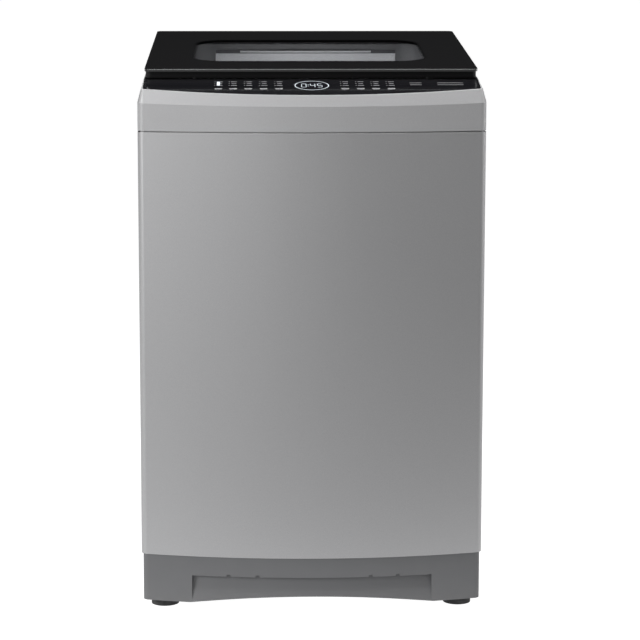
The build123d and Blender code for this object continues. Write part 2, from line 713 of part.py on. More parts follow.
def lid_frame():
    """Black frame under the glass, with the two hinge knuckles at its rear."""
    top = GLASS_LOW - 0.1
    flange_low = top - LID_FLANGE
    frame = rounded_plate(
        BED, LID_FRAME_HALF_X, LID_FRAME_FRONT, LID_FRAME_REAR, GLASS_CORNER, LID_FRAME_LOW, top
    )
    inner_x = LID_FRAME_HALF_X - LID_RIM
    inner_front = LID_FRAME_FRONT + LID_RIM
    inner_rear = LID_FRAME_REAR - LID_RIM
    frame -= rounded_plate(BED, inner_x, inner_front, inner_rear, 5.0, 0, flange_low)
    frame -= rounded_plate(BED, WINDOW_HALF_X, WINDOW_FRONT, WINDOW_REAR, WINDOW_RADIUS, 0, top + 1)
    for side in (-1, 1):
        x = side * HINGE_X
        axle = BED * Pos(x, PIVOT_ALONG, PIVOT_ABOVE) * Rot(0, 90, 0)
        frame += axle * Cylinder(KNUCKLE_RADIUS, 2 * KNUCKLE_HALF)
        low = PIVOT_ALONG - KNUCKLE_RADIUS
        high = PIVOT_ALONG + KNUCKLE_RADIUS
        frame += bed_box(x - KNUCKLE_HALF, x + KNUCKLE_HALF, low, high, PIVOT_ABOVE, top)
        frame -= axle * Cylinder(PIN_RADIUS + RUNNING, 4 * KNUCKLE_HALF)
        for way in (-1, 1):
            near = x + way * (CHEEK_INNER - CHEEK_SLOT)
            far = x + way * (CHEEK_INNER + CHEEK_THICKNESS + CHEEK_SLOT)
            xs = sorted((near, far))
            frame -= bed_box(xs[0], xs[1], PIVOT_ALONG - 8, LID_FRAME_REAR + 1, 0, top + 1)
    return frame


def lid_bumpers():
    """Soft stops under the lid's rim."""
    pads = []
    for x, along in BUMPERS:
        spot = BED * Pos(x, along, GAP)
        pads.append((spot * Cylinder(BUMPER_RADIUS / 2, LID_FRAME_LOW - GAP, align=UPWARD)).solid())
    return Compound(children=pads)


def hinge_brackets():
    """Two steel brackets on the rear ledge."""
    brackets = []
    for side in (-1, 1):
        x = side * HINGE_X
        reach = CHEEK_INNER + CHEEK_THICKNESS
        low = -SHELF_DROP
        near = PIVOT_ALONG - BRACKET_LENGTH
        far = PIVOT_ALONG + BRACKET_LENGTH / 2
        bracket = bed_box(x - reach, x + reach, near, far, low, low + BRACKET_BASE)
        for way in (-1, 1):
            xs = sorted((x + way * CHEEK_INNER, x + way * reach))
            side_low = PIVOT_ALONG - CHEEK_RADIUS
            side_high = PIVOT_ALONG + CHEEK_RADIUS
            bracket += bed_box(xs[0], xs[1], side_low, side_high, low, PIVOT_ABOVE)
            middle = x + way * (CHEEK_INNER + CHEEK_THICKNESS / 2)
            round_top = BED * Pos(middle, PIVOT_ALONG, PIVOT_ABOVE) * Rot(0, 90, 0)
            bracket += round_top * Cylinder(CHEEK_RADIUS, CHEEK_THICKNESS)
        hole = BED * Pos(x, PIVOT_ALONG, PIVOT_ABOVE) * Rot(0, 90, 0)
        bracket -= hole * Cylinder(PIN_RADIUS + 0.01, PIN_LENGTH + 4)
        brackets.append(bracket.solid())
    return Compound(children=brackets)


def hinge_pins():
    """Two steel pins, fast in the brackets; the lid turns on them."""
    pins = []
    for side in (-1, 1):
        spot = BED * Pos(side * HINGE_X, PIVOT_ALONG, PIVOT_ABOVE) * Rot(0, 90, 0)
        pins.append((spot * Cylinder(PIN_RADIUS, PIN_LENGTH)).solid())
    return Compound(children=pins)


# ================================================================ detergent drawer and water in
def detergent_drawer():
    """Drawer with a wide front, a curved pull lip and an open two-bay tray."""
    front_low = OPENING_REAR_Y
    front_high = OPENING_REAR_Y + FUNNEL_WALL
    half = DRAWER_HALF_X
    drawer = box_between(-half, half, front_low, front_high, DRAWER_LOW_Z, DRAWER_CAP_Z)
    drawer -= box_between(-half - 1, half + 1, front_low - 1, front_low + 1, DRAWER_TOP_Z, DRAWER_CAP_Z + 1)
    reach = front_low - DRAWER_LIP_REACH
    wide = DRAWER_LIP_HALF_X
    near = front_low - 1
    far = front_high - 1
    lip_arc = ThreePointArc((-wide, near), (0, reach), (wide, near))
    lip_right = Line((wide, near), (wide, far))
    lip_back = Line((wide, far), (-wide, far))
    lip_left = Line((-wide, far), (-wide, near))
    lip_plan = Pos(0, 0, DRAWER_LIP_LOW_Z) * make_face([lip_arc, lip_right, lip_back, lip_left])
    drawer += extrude(lip_plan, amount=DRAWER_LIP_HIGH_Z - DRAWER_LIP_LOW_Z)
    tray = box_between(-TRAY_HALF_X, TRAY_HALF_X, front_high - 1, TRAY_REAR_Y, TRAY_LOW_Z, TRAY_TOP_Z)
    divider = TRAY_DIVIDER_X
    rear = TRAY_REAR_Y - TRAY_WALL
    low = TRAY_LOW_Z + TRAY_WALL
    left = -TRAY_HALF_X + TRAY_WALL
    right = TRAY_HALF_X - TRAY_WALL
    tray -= box_between(left, divider, front_high, rear, low, TRAY_TOP_Z + 1)
    tray -= box_between(divider + TRAY_WALL, right, front_high, rear, low, TRAY_TOP_Z + 1)
    return drawer + tray


def dispenser_housing():
    """Fixed box the drawer slides into, with the wash spout under it."""
    half = HOUSING_HALF_X
    body = box_between(-half, half, HOUSING_FRONT_Y, HOUSING_REAR_Y, HOUSING_LOW_Z, HOUSING_TOP_Z)
    wall = HOUSING_WALL
    rear = HOUSING_REAR_Y - wall
    low = HOUSING_LOW_Z + wall
    high = HOUSING_TOP_Z - wall
    body -= box_between(-half + wall, half - wall, HOUSING_FRONT_Y - 1, rear, low, high)
    spout_low = HOUSING_LOW_Z - SPOUT_DEPTH
    spout = box_between(-SPOUT_HALF_X, SPOUT_HALF_X, 244, 270, spout_low, HOUSING_LOW_Z + 1)
    spout -= box_between(-SPOUT_HALF_X + 2, SPOUT_HALF_X - 2, 246, 268, spout_low - 1, HOUSING_LOW_Z + 4)
    body += spout
    body -= box_between(-SPOUT_HALF_X + 2, SPOUT_HALF_X - 2, 246, 268, spout_low - 1, HOUSING_LOW_Z + 4)
    body -= sideways_rod(half - wall - 1, half + 1, FEED_Y, FEED_Z, FEED_BORE)
    return body


def inlet_valve():
    """Water valve with its threaded inlet through the rear wall."""
    inner = REAR_Y - COVER_WALL - JOIN_GAP
    dx, dy, dz = VALVE_BODY
    low = VALVE_Z - dz / 2
    top = VALVE_Z + dz / 2
    body = box_between(VALVE_X - dx / 2, VALVE_X + dx / 2, inner - dy, inner, low, top)
    body += rearward_rod(VALVE_X, inner - 2, LIMIT_Y, VALVE_Z, THREAD_RADIUS - 0.6)
    body += rearward_rod(VALVE_X, REAR_Y + THREAD_START, LIMIT_Y, VALVE_Z, THREAD_RADIUS)
    body -= rearward_rod(VALVE_X, inner - 12, LIMIT_Y + 1, VALVE_Z, THREAD_BORE)
    body += rod_between(VALVE_X, FEED_Y, top - 1, FEED_Z + 12, FEED_RADIUS)
    body += sideways_rod(VALVE_X - dx / 2 - 8, VALVE_X, FEED_Y, FEED_Z, FEED_BORE)
    body += rod_between(VALVE_X, inner - dy / 2, low - COIL_HEIGHT, low + 1, COIL_RADIUS)
    return body


def inlet_hose():
    """Short rubber hose from the valve to the dispenser."""
    start = HOUSING_HALF_X + JOIN_GAP
    end = VALVE_X - FEED_RADIUS - JOIN_GAP - 1
    hose = sideways_rod(start, end, FEED_Y, FEED_Z, FEED_RADIUS)
    return hose - sideways_rod(start - 1, end + 1, FEED_Y, FEED_Z, FEED_BORE + 0.05)


# ================================================================ tub unit
def outer_tub():
    """Plastic tub with stiffening beads, rod lugs, sump outlet and air trap."""
    tub = rod_between(0, TUB_Y, TUB_FLOOR_Z, TUB_TOP_Z, TUB_RADIUS)
    for z in TUB_BEADS_Z:
        tub += rod_between(0, TUB_Y, z, z + TUB_BEAD, TUB_RADIUS + TUB_BEAD)
    for x, y in rod_places():
        away = (x**2 + (y - TUB_Y) ** 2) ** 0.5
        turn = degrees(atan2(y - TUB_Y, x))
        start = TUB_RADIUS - 6
        arm = Box(away - start, LUG_WIDTH, LUG_THICKNESS, align=(Align.MIN, Align.CENTER, Align.MIN))
        tub += Pos(0, TUB_Y, LUG_LOW_Z) * Rot(0, 0, turn) * Pos(start, 0, 0) * arm
        tub += rod_between(x, y, LUG_LOW_Z, LUG_LOW_Z + LUG_THICKNESS, LUG_WIDTH / 2)
    trap_turn = degrees(atan2(TRAP_Y - TUB_Y, TRAP_X))
    trap_far = (TRAP_X**2 + (TRAP_Y - TUB_Y) ** 2) ** 0.5 + 6
    trap_height = TRAP_TOP_Z - TRAP_LOW_Z
    inward = (Align.MIN, Align.CENTER, Align.MIN)
    trap = Box(trap_far - TUB_RADIUS + 6, TRAP_WIDTH, trap_height, align=inward)
    tub += Pos(0, TUB_Y, TRAP_LOW_Z) * Rot(0, 0, trap_turn) * Pos(TUB_RADIUS - 6, 0, 0) * trap
    tub += rod_between(SUMP_X, SUMP_Y, TUB_FLOOR_Z - SUMP_LENGTH, TUB_FLOOR_Z, SUMP_RADIUS)
    for turn in (45, 135, 225, 315):
        x = TUB_BOSS_REACH * cos(radians(turn))
        y = TUB_Y + TUB_BOSS_REACH * sin(radians(turn))
        boss_low = BRACKET_LOW_Z + BRACKET_PLATE
        tub += rod_between(x, y, boss_low, TUB_FLOOR_Z, TUB_BOSS_RADIUS)
    tub -= rod_between(0, TUB_Y, TUB_FLOOR_Z + TUB_FLOOR, TUB_TOP_Z + 1, TUB_RADIUS - TUB_WALL)
    tub -= rod_between(0, TUB_Y, TUB_FLOOR_Z - 1, TUB_FLOOR_Z + 5, HUB_HOLE_RADIUS)
    tub -= rod_between(SUMP_X, SUMP_Y, TUB_FLOOR_Z - SUMP_LENGTH - 1, TUB_FLOOR_Z + 5, SUMP_BORE)
    for x, y in rod_places():
        tub -= rod_between(x, y, LUG_LOW_Z - 1, LUG_LOW_Z + LUG_THICKNESS + 1, LUG_HOLE)
    return tub


def tub_ring():
    """Splash ring snapped on the tub's rim."""
    low = TUB_TOP_Z - TUB_RING_SKIRT
    ring = tube_between(0, TUB_Y, TUB_TOP_Z, TUB_RING_TOP_Z, TUB_RING_OUTER, TUB_RING_INNER)
    ring += tube_between(0, TUB_Y, low, TUB_TOP_Z, TUB_RING_OUTER, TUB_RADIUS + JOIN_GAP)
    ring -= tube_between(0, TUB_Y, TUB_TOP_Z + 4, TUB_RING_TOP_Z + 1, TUB_RING_OUTER - 4, TUB_RING_INNER + 4)
    return ring


def tub_bracket():
    """Steel cross under the tub that carries the gearcase and motor."""
    plate = rod_between(0, TUB_Y, BRACKET_LOW_Z, BRACKET_LOW_Z + BRACKET_PLATE, BRACKET_DISC)
    for turn in (45, 135):
        bar = Box(BRACKET_BAR_LENGTH, BRACKET_BAR_WIDTH, BRACKET_PLATE, align=UPWARD)
        plate += Pos(0, TUB_Y, BRACKET_LOW_Z) * Rot(0, 0, turn) * bar
    reach = MOTOR_X + MOTOR_RADIUS
    top = BRACKET_LOW_Z + BRACKET_PLATE
    plate += box_between(0, reach, TUB_Y - 45, TUB_Y + 45, BRACKET_LOW_Z, top)
    plate -= rod_between(0, TUB_Y, BRACKET_LOW_Z - 1, top + 1, GEARCASE_NECK + JOIN_GAP)
    return plate


def gearcase():
    """Clutch and bearing case under the bracket."""
    case = rod_between(0, TUB_Y, GEARCASE_LOW_Z + 12, BRACKET_LOW_Z, GEARCASE_RADIUS)
    case += rod_between(0, TUB_Y, GEARCASE_LOW_Z, GEARCASE_LOW_Z + 12, GEARCASE_RADIUS - 22)
    case += rod_between(0, TUB_Y, BRACKET_LOW_Z, BRACKET_LOW_Z + BRACKET_PLATE + 3, GEARCASE_NECK)
    for turn in range(0, 360, 60):
        rib = Box(10, 6, 60, align=UPWARD)
        case += Pos(0, TUB_Y, GEARCASE_LOW_Z + 20) * Rot(0, 0, turn) * Pos(GEARCASE_RADIUS, 0, 0) * rib
    case -= rod_between(0, TUB_Y, GEARCASE_LOW_Z + 4, TUB_FLOOR_Z, SPIN_TUBE_RADIUS + RUNNING)
    case -= rod_between(0, TUB_Y, GEARCASE_LOW_Z - 1, TUB_FLOOR_Z, SHAFT_RADIUS + RUNNING)
    return case


def shaft_seal():
    """Rubber seal between the tub floor and the spin tube."""
    low = BRACKET_LOW_Z + BRACKET_PLATE + 3 + JOIN_GAP
    seal = tube_between(0, TUB_Y, low, TUB_FLOOR_Z + 6, HUB_HOLE_RADIUS - 0.1, SPIN_TUBE_RADIUS + RUNNING)
    return seal


def motor_body():
    """Motor can hung under the bracket."""
    low = MOTOR_LOW_Z
    can = rod_between(MOTOR_X, TUB_Y, low + 6, BRACKET_LOW_Z - 8, MOTOR_RADIUS)
    can += rod_between(MOTOR_X, TUB_Y, low, low + 6, MOTOR_RADIUS - 12)
    can += rod_between(MOTOR_X, TUB_Y, BRACKET_LOW_Z - 8, BRACKET_LOW_Z, MOTOR_RADIUS - 14)
    for turn in range(0, 360, 45):
        slot = Box(30, 5, 30, align=UPWARD)
        can -= Pos(MOTOR_X, TUB_Y, low + 28) * Rot(0, 0, turn) * Pos(MOTOR_RADIUS, 0, 0) * slot
    can -= rod_between(MOTOR_X, TUB_Y, low - 1, low + 60, MOTOR_SHAFT_RADIUS + RUNNING)
    return can


def pulley(x, radius, bore):
    """A flat-grooved belt pulley."""
    wheel = rod_between(x, TUB_Y, PULLEY_LOW_Z, PULLEY_TOP_Z, radius)
    wheel -= tube_between(x, TUB_Y, GROOVE_LOW_Z, GROOVE_TOP_Z, radius + 5, radius - GROOVE_DEPTH)
    wheel -= rod_between(x, TUB_Y, PULLEY_LOW_Z - 1, PULLEY_TOP_Z + 1, bore)
    return wheel


def drive_pulley():
    """Large pulley with lightening holes."""
    wheel = pulley(0, DRIVE_PULLEY_RADIUS, SHAFT_RADIUS + 0.02)
    for turn in range(0, 360, 60):
        spot = Pos(0, TUB_Y, PULLEY_LOW_Z - 1) * Rot(0, 0, turn) * Pos(48, 0, 0)
        wheel -= spot * Cylinder(15, 40, align=UPWARD)
    return wheel


def motor_pulley():
    """Small pulley on the motor's shaft."""
    shaft = rod_between(MOTOR_X, TUB_Y, MOTOR_SHAFT_LOW_Z, MOTOR_LOW_Z + 58, MOTOR_SHAFT_RADIUS)
    return pulley(MOTOR_X, MOTOR_PULLEY_RADIUS, MOTOR_SHAFT_RADIUS - 1) + shaft


def belt_loop(extra):
    """Plan of a belt surface around both pulleys."""
    big = DRIVE_PULLEY_RADIUS - GROOVE_DEPTH + extra
    small = MOTOR_PULLEY_RADIUS - GROOVE_DEPTH + extra
    first = Pos(0, TUB_Y) * Circle(big)
    second = Pos(MOTOR_X, TUB_Y) * Circle(small)
    return make_hull(first.edges() + second.edges())


def drive_belt():
    """Rubber belt from the motor to the gearcase pulley."""
    height = BELT_TOP_Z - BELT_LOW_Z
    outer = extrude(Pos(0, 0, BELT_LOW_Z) * belt_loop(GAP + BELT_THICKNESS), amount=height)
    inner = extrude(Pos(0, 0, BELT_LOW_Z) * belt_loop(GAP), amount=height)
    return outer - inner


# ================================================================ suspension
def suspension_rods():
    """Four steel rods with ball heads."""
    rods = []
    head_z = CORNER_PLATE_Z + CORNER_PLATE_THICKNESS + ROD_SEAT_HEIGHT
    for x, y in rod_places():
        rod = rod_between(x, y, ROD_LOW_Z, head_z, ROD_RADIUS)
        rod += Pos(x, y, head_z + 4) * Sphere(ROD_HEAD_RADIUS)
        rods.append(rod.solid())
    return Compound(children=rods)


def rod_seats():
    """Plastic seats the ball heads rest in."""
    seats = []
    low = CORNER_PLATE_Z + CORNER_PLATE_THICKNESS
    high = low + ROD_SEAT_HEIGHT
    for x, y in rod_places():
        seat = rod_between(x, y, low, high, ROD_SEAT_RADIUS)
        seat -= rod_between(x, y, low - 1, high + 1, ROD_RADIUS + 0.1)
        seat -= Pos(x, y, high + 4) * Sphere(ROD_HEAD_RADIUS + 0.1)
        seats.append(seat.solid())
    return Compound(children=seats)


def rod_caps():
    """Plastic caps at the rods' feet that the springs stand on."""
    caps = []
    for x, y in rod_places():
        cap = rod_between(x, y, ROD_LOW_Z - 4, ROD_CAP_TOP_Z - 4, ROD_CAP_RADIUS - 4)
        cap += rod_between(x, y, ROD_CAP_TOP_Z - 4, ROD_CAP_TOP_Z, ROD_CAP_RADIUS)
        cap -= rod_between(x, y, ROD_LOW_Z, ROD_CAP_TOP_Z + 1, ROD_RADIUS + 0.02)
        caps.append(cap.solid())
    return Compound(children=caps)


def suspension_springs():
    """Four coil springs between the rod caps and the cups."""
    free = SPRING_TOP_Z - ROD_CAP_TOP_Z - 2 * SPRING_WIRE - 2 * GAP
    path = Helix(pitch=free / SPRING_TURNS, height=free, radius=SPRING_RADIUS)
    wire = sweep(Plane(origin=path @ 0, z_dir=path % 0) * Circle(SPRING_WIRE), path=path)
    springs = []
    for x, y in rod_places():
        springs.append((Pos(x, y, ROD_CAP_TOP_Z + SPRING_WIRE + GAP) * wire).solid())
    return Compound(children=springs)


def suspension_cups():
    """Damper cups under the tub's lugs."""
    cups = []
    for x, y in rod_places():
        cup = rod_between(x, y, SPRING_TOP_Z, LUG_LOW_Z, CUP_RADIUS)
        cup -= rod_between(x, y, SPRING_TOP_Z - 1, LUG_LOW_Z + 1, CUP_HOLE)
        cups.append(cup.solid())
    return Compound(children=cups)


# ================================================================ basket and pulsator
def wash_basket():
    """Stainless drum wall; its punched holes are left out here."""
    inner = BASKET_RADIUS - BASKET_WALL
    return tube_between(0, TUB_Y, BASKET_LOW_Z, BASKET_TOP_Z, BASKET_RADIUS, inner)


def basket_base():
    """Moulded floor of the basket with a raised ring around the pulsator."""
    radius = BASKET_RADIUS - BASKET_WALL - JOIN_GAP
    top = BASKET_LOW_Z + BASE_DISC
    disc = rod_between(0, TUB_Y, BASKET_LOW_Z, top, radius)
    ring = tube_between(0, TUB_Y, top - 1, BASE_RING_Z, radius, BASE_RING_INNER)
    base = disc + ring
    return base - rod_between(0, TUB_Y, BASKET_LOW_Z - 1, top + 1, SHAFT_RADIUS + RUNNING + 0.04)


def balance_ring():
    """Fluid-filled ring on the basket's rim."""
    low = BASKET_TOP_Z
    profile = Polyline(
        (RING_INNER, low + 8),
        (RING_INNER + 10, low),
        (RING_OUTER, low),
        (RING_OUTER, RING_TOP_Z - 8),
        (RING_OUTER - 8, RING_TOP_Z),
        (RING_INNER + 6, RING_TOP_Z),
        (RING_INNER, RING_TOP_Z - 6),
        (RING_INNER, low + 8),
    )
    face = make_face(Plane.XZ * profile)
    return Pos(0, TUB_Y, 0) * revolve(face, axis=Axis.Z)


def spin_tube():
    """Hollow basket shaft with its hub flange."""
    tube = rod_between(0, TUB_Y, SPIN_TUBE_LOW_Z, BASKET_LOW_Z, SPIN_TUBE_RADIUS)
    tube += rod_between(0, TUB_Y, BASKET_LOW_Z - HUB_FLANGE, BASKET_LOW_Z, HUB_FLANGE_RADIUS)
    return tube - rod_between(0, TUB_Y, SPIN_TUBE_LOW_Z - 1, BASKET_LOW_Z + 1, SHAFT_RADIUS + RUNNING)


def pulsator():
    """Wash plate: a low dome with four swept vanes."""
    low = PULSATOR_LOW_Z
    rim = low + PULSATOR_RIM
    dome_top = low + PULSATOR_DOME
    profile = Polyline(
        (SHAFT_RADIUS + 0.02, low),
        (PULSATOR_RADIUS, low),
        (PULSATOR_RADIUS, rim),
        (110.0, rim + 3),
        (60.0, rim + 8),
        (CAP_RADIUS, dome_top - 4),
        (CAP_RADIUS, dome_top - 8),
        (SHAFT_RADIUS + 0.02, dome_top - 8),
        (SHAFT_RADIUS + 0.02, low),
    )
    plate = Pos(0, TUB_Y, 0) * revolve(make_face(Plane.XZ * profile), axis=Axis.Z)
    for index in range(VANE_COUNT):
        turn = 360 / VANE_COUNT * index
        reach = PULSATOR_RADIUS - 14
        start = CAP_RADIUS + 4
        spine = ThreePointArc((start, 0), ((start + reach) / 2, 22), (reach, 0))
        vane_low = low + 2
        face = Pos(0, 0, vane_low) * make_face(
            [
                spine,
                Line((reach, 0), (reach - 4, -VANE_THICKNESS / 2)),
                ThreePointArc(
                    (reach - 4, -VANE_THICKNESS / 2),
                    ((start + reach) / 2, 22 - VANE_THICKNESS),
                    (start, -VANE_THICKNESS),
                ),
                Line((start, -VANE_THICKNESS), (start, 0)),
            ]
        )
        vane = extrude(face, amount=VANE_TOP_Z - vane_low)
        slope_top = Pos(start, 0, VANE_TOP_Z - 2) * Rot(0, 9, 0)
        vane -= slope_top * Pos(-50, 0, 0) * Box(400, 200, 100, align=(Align.MIN, Align.CENTER, Align.MIN))
        plate += Pos(0, TUB_Y, 0) * Rot(0, 0, turn) * vane
    return plate


def pulsator_cap():
    """Cap over the pulsator's fixing screw."""
    low = PULSATOR_LOW_Z + PULSATOR_DOME - 8
    cap = Pos(0, TUB_Y, low) * Cylinder(CAP_RADIUS - JOIN_GAP, 6, align=UPWARD)
    cap += Pos(0, TUB_Y, low + 6) * Cone(CAP_RADIUS - JOIN_GAP, 18, CAP_TOP_Z - low - 6, align=UPWARD)
    return cap - rod_between(0, TUB_Y, low - 1, SHAFT_TOP_Z + 1, SHAFT_RADIUS + 0.5)


def drive_shaft():
    """Steel shaft from the pulley up to the pulsator."""
    return rod_between(0, TUB_Y, SHAFT_LOW_Z, SHAFT_TOP_Z, SHAFT_RADIUS)


# ================================================================ drain
def drain_pump():
    """Drain pump on the base's tray."""
    x, y = SUMP_X, SUMP_Y
    pump = rod_between(x, y, PUMP_LOW_Z, PUMP_VOLUTE_TOP_Z, PUMP_RADIUS)
    pump += rod_between(x, y, PUMP_VOLUTE_TOP_Z, PUMP_INLET_TOP_Z, SUMP_RADIUS)
    pump += rod_between(x, y, PUMP_TRAY_LOW_Z + RIB, PUMP_LOW_Z, 14)
    motor_end = x + PUMP_RADIUS + PUMP_MOTOR_LENGTH - 10
    pump += sideways_rod(x, min(motor_end, RIBS_X[0] - 3), y, 54, 21)
    pump -= rod_between(x, y, PUMP_VOLUTE_TOP_Z - 24, PUMP_INLET_TOP_Z + 1, SUMP_BORE)
    stub_start = x - PUMP_RADIUS - 14
    pump += sideways_rod(stub_start, x - PUMP_RADIUS + 6, y, 56, HOSE_BORE - 0.1)
    return pump


def sump_hose():
    """Rubber bellows from the tub's sump to the pump; it gives as the tub moves."""
    low = PUMP_INLET_TOP_Z + GAP
    high = TUB_FLOOR_Z - SUMP_LENGTH - GAP
    fold = (high - low) / BELLOWS_FOLDS
    hose = tube_between(SUMP_X, SUMP_Y, low, high, SUMP_RADIUS, SUMP_BORE)
    for index in range(BELLOWS_FOLDS):
        z = low + fold * (index + 0.25)
        hose += tube_between(SUMP_X, SUMP_Y, z, z + fold / 2, BELLOWS_RADIUS, SUMP_BORE + 2)
    return hose


def drain_hose():
    """Hose from the pump to the outlet in the back."""
    start = (SUMP_X - PUMP_RADIUS - 12, SUMP_Y, 56)
    points = [
        start,
        (OUTLET_X - 15, SUMP_Y, 56),
        (OUTLET_X - 15, SUMP_Y + 60, 135),
        (OUTLET_X - 15, 120, 150),
        (OUTLET_X, 225, OUTLET_Z),
        (OUTLET_X, REAR_Y - 30, OUTLET_Z),
    ]
    path = FilletPolyline(*points, radius=24)
    section = Plane(origin=path @ 0, z_dir=path % 0)
    outer = sweep(section * Circle(HOSE_RADIUS), path=path)
    inner = sweep(section * Circle(HOSE_BORE), path=path)
    return outer - inner


def drain_outlet():
    """Outlet spigot through the back for the drain hose."""
    start = REAR_Y - 42
    spigot = rearward_rod(OUTLET_X, start, LIMIT_Y, OUTLET_Z, OUTLET_RADIUS - 0.4)
    spigot += rearward_rod(OUTLET_X, REAR_Y + THREAD_START, LIMIT_Y, OUTLET_Z, OUTLET_RADIUS)
    flange_y = REAR_Y - 2 * SHEET - 2 * JOIN_GAP
    spigot += rearward_rod(OUTLET_X, flange_y - 3, flange_y, OUTLET_Z, OUTLET_RADIUS + 8)
    neck = REAR_Y - 30 + JOIN_GAP
    spigot -= rearward_rod(OUTLET_X, start - 1, neck, OUTLET_Z, 40) - rearward_rod(
        OUTLET_X, start - 1, neck, OUTLET_Z, HOSE_BORE - 0.1
    )
    return spigot - rearward_rod(OUTLET_X, start - 1, LIMIT_Y + 1, OUTLET_Z, OUTLET_BORE)


# ================================================================ small fittings
def cord_gland():
    """Strain relief in the back where the power cord leaves."""
    flange_y = REAR_Y - 2 * SHEET - 2 * JOIN_GAP
    gland = rearward_rod(GLAND_X, flange_y - 14, REAR_Y + 6, GLAND_Z, GLAND_RADIUS)
    gland += rearward_rod(GLAND_X, flange_y - 3, flange_y, GLAND_Z, GLAND_RADIUS + 5)
    return gland - rearward_rod(GLAND_X, flange_y - 15, REAR_Y + 7, GLAND_Z, GLAND_BORE)


def pressure_sensor():
    """Water level sensor inside the left of the cover."""
    x = TRAP_X + SENSOR_RADIUS - 6
    body = rod_between(x, TRAP_Y, SENSOR_LOW_Z, SENSOR_LOW_Z + SENSOR_HEIGHT, SENSOR_RADIUS)
    body += rod_between(TRAP_X, TRAP_Y, SENSOR_LOW_Z - 12, SENSOR_LOW_Z + 1, TUBE_BORE - 0.1)
    return body


def pressure_tube():
    """Thin air tube from the tub's trap to the level sensor; it gives as the tub moves."""
    return tube_between(TRAP_X, TRAP_Y, TRAP_TOP_Z + GAP, SENSOR_LOW_Z - GAP, TUBE_RADIUS, TUBE_BORE)


# ================================================================ write the parts
def main():
    os.makedirs("parts", exist_ok=True)
    write("cabinet_shell", cabinet_shell())
    write("rear_panel", rear_panel())
    write("panel_screws", panel_screws())
    write("corner_plates", corner_plates())
    write("base_frame", base_frame())
    write("front_foot_left", levelling_foot(-1))
    write("front_foot_right", levelling_foot(1))
    write("foot_locknuts", foot_locknuts())
    write("rear_feet", rear_feet())
    write("top_cover", top_cover())
    write("deck_funnel", deck_funnel())
    write("console_fascia", console_fascia())
    write("display_window", display_window())
    for index, x in enumerate(KEYS_X):
        write(f"key_{index + 1}", console_key(x))
    write("control_board", control_board())
    write("lid_glass", lid_glass())
    write("lid_frame", lid_frame())
    write("lid_bumpers", lid_bumpers())
    write("hinge_brackets", hinge_brackets())
    write("hinge_pins", hinge_pins())
    write("detergent_drawer", detergent_drawer())
    write("dispenser_housing", dispenser_housing())
    write("inlet_valve", inlet_valve())
    write("inlet_hose", inlet_hose())
    write("outer_tub", outer_tub())
    write("tub_ring", tub_ring())
    write("tub_bracket", tub_bracket())
    write("gearcase", gearcase())
    write("shaft_seal", shaft_seal())
    write("motor_body", motor_body())
    write("motor_pulley", motor_pulley())
    write("drive_belt", drive_belt())
    write("suspension_rods", suspension_rods())
    write("rod_seats", rod_seats())
    write("rod_caps", rod_caps())
    write("suspension_springs", suspension_springs())
    write("suspension_cups", suspension_cups())
    write("wash_basket", wash_basket())
    write("basket_base", basket_base())
    write("balance_ring", balance_ring())
    write("spin_tube", spin_tube())
    write("pulsator", pulsator())
    write("pulsator_cap", pulsator_cap())
    write("drive_shaft", drive_shaft())
    write("drive_pulley", drive_pulley())
    write("drain_pump", drain_pump())
    write("sump_hose", sump_hose())
    write("drain_hose", drain_hose())
    write("drain_outlet", drain_outlet())
    write("cord_gland", cord_gland())
    write("pressure_sensor", pressure_sensor())
    write("pressure_tube", pressure_tube())


main()
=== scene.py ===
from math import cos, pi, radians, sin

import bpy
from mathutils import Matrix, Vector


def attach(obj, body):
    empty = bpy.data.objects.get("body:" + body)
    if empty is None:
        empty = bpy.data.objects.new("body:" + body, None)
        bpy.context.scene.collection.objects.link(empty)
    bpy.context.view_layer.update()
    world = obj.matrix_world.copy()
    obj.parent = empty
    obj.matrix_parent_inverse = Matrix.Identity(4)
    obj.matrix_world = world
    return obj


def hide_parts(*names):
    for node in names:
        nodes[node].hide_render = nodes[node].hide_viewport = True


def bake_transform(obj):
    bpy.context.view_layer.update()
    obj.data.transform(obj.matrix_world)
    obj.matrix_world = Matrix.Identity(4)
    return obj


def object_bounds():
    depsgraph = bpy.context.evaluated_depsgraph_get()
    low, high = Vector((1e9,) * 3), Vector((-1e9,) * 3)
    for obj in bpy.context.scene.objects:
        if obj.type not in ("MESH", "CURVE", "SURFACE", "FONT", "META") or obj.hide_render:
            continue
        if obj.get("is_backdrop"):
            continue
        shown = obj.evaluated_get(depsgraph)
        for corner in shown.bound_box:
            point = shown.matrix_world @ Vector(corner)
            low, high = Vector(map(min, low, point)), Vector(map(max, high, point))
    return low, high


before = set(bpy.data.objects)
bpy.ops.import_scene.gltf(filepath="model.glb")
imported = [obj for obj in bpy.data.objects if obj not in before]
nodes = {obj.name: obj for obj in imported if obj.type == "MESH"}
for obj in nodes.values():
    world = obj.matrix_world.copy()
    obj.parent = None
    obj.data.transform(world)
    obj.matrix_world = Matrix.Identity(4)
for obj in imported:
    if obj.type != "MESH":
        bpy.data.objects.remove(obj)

# %% [markdown]
# A washing machine is a hollow steel box with a plastic top, a glass lid and a drum that hangs
# inside. The solid pieces are loaded already, each in its real place, so this lesson dresses them:
# it gives each one the finish of its real material and adds the small things that solids leave out.
# First the size of the loaded machine is kept, because nothing made later may make it bigger.

cad_low, cad_high = (tuple(corner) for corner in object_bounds())
size_m = [round(b - a, 4) for a, b in zip(cad_low, cad_high)]
print("machine is", size_m, "m with", len(nodes), "pieces")

# %% [markdown]
# Every finish here is worked out by the shader from the place of the point on the piece, so it
# needs no pictures. The sums are easier to read as ordinary Python, so a wire between two shader
# nodes is wrapped in a class whose plus, minus and times each add one Math node.

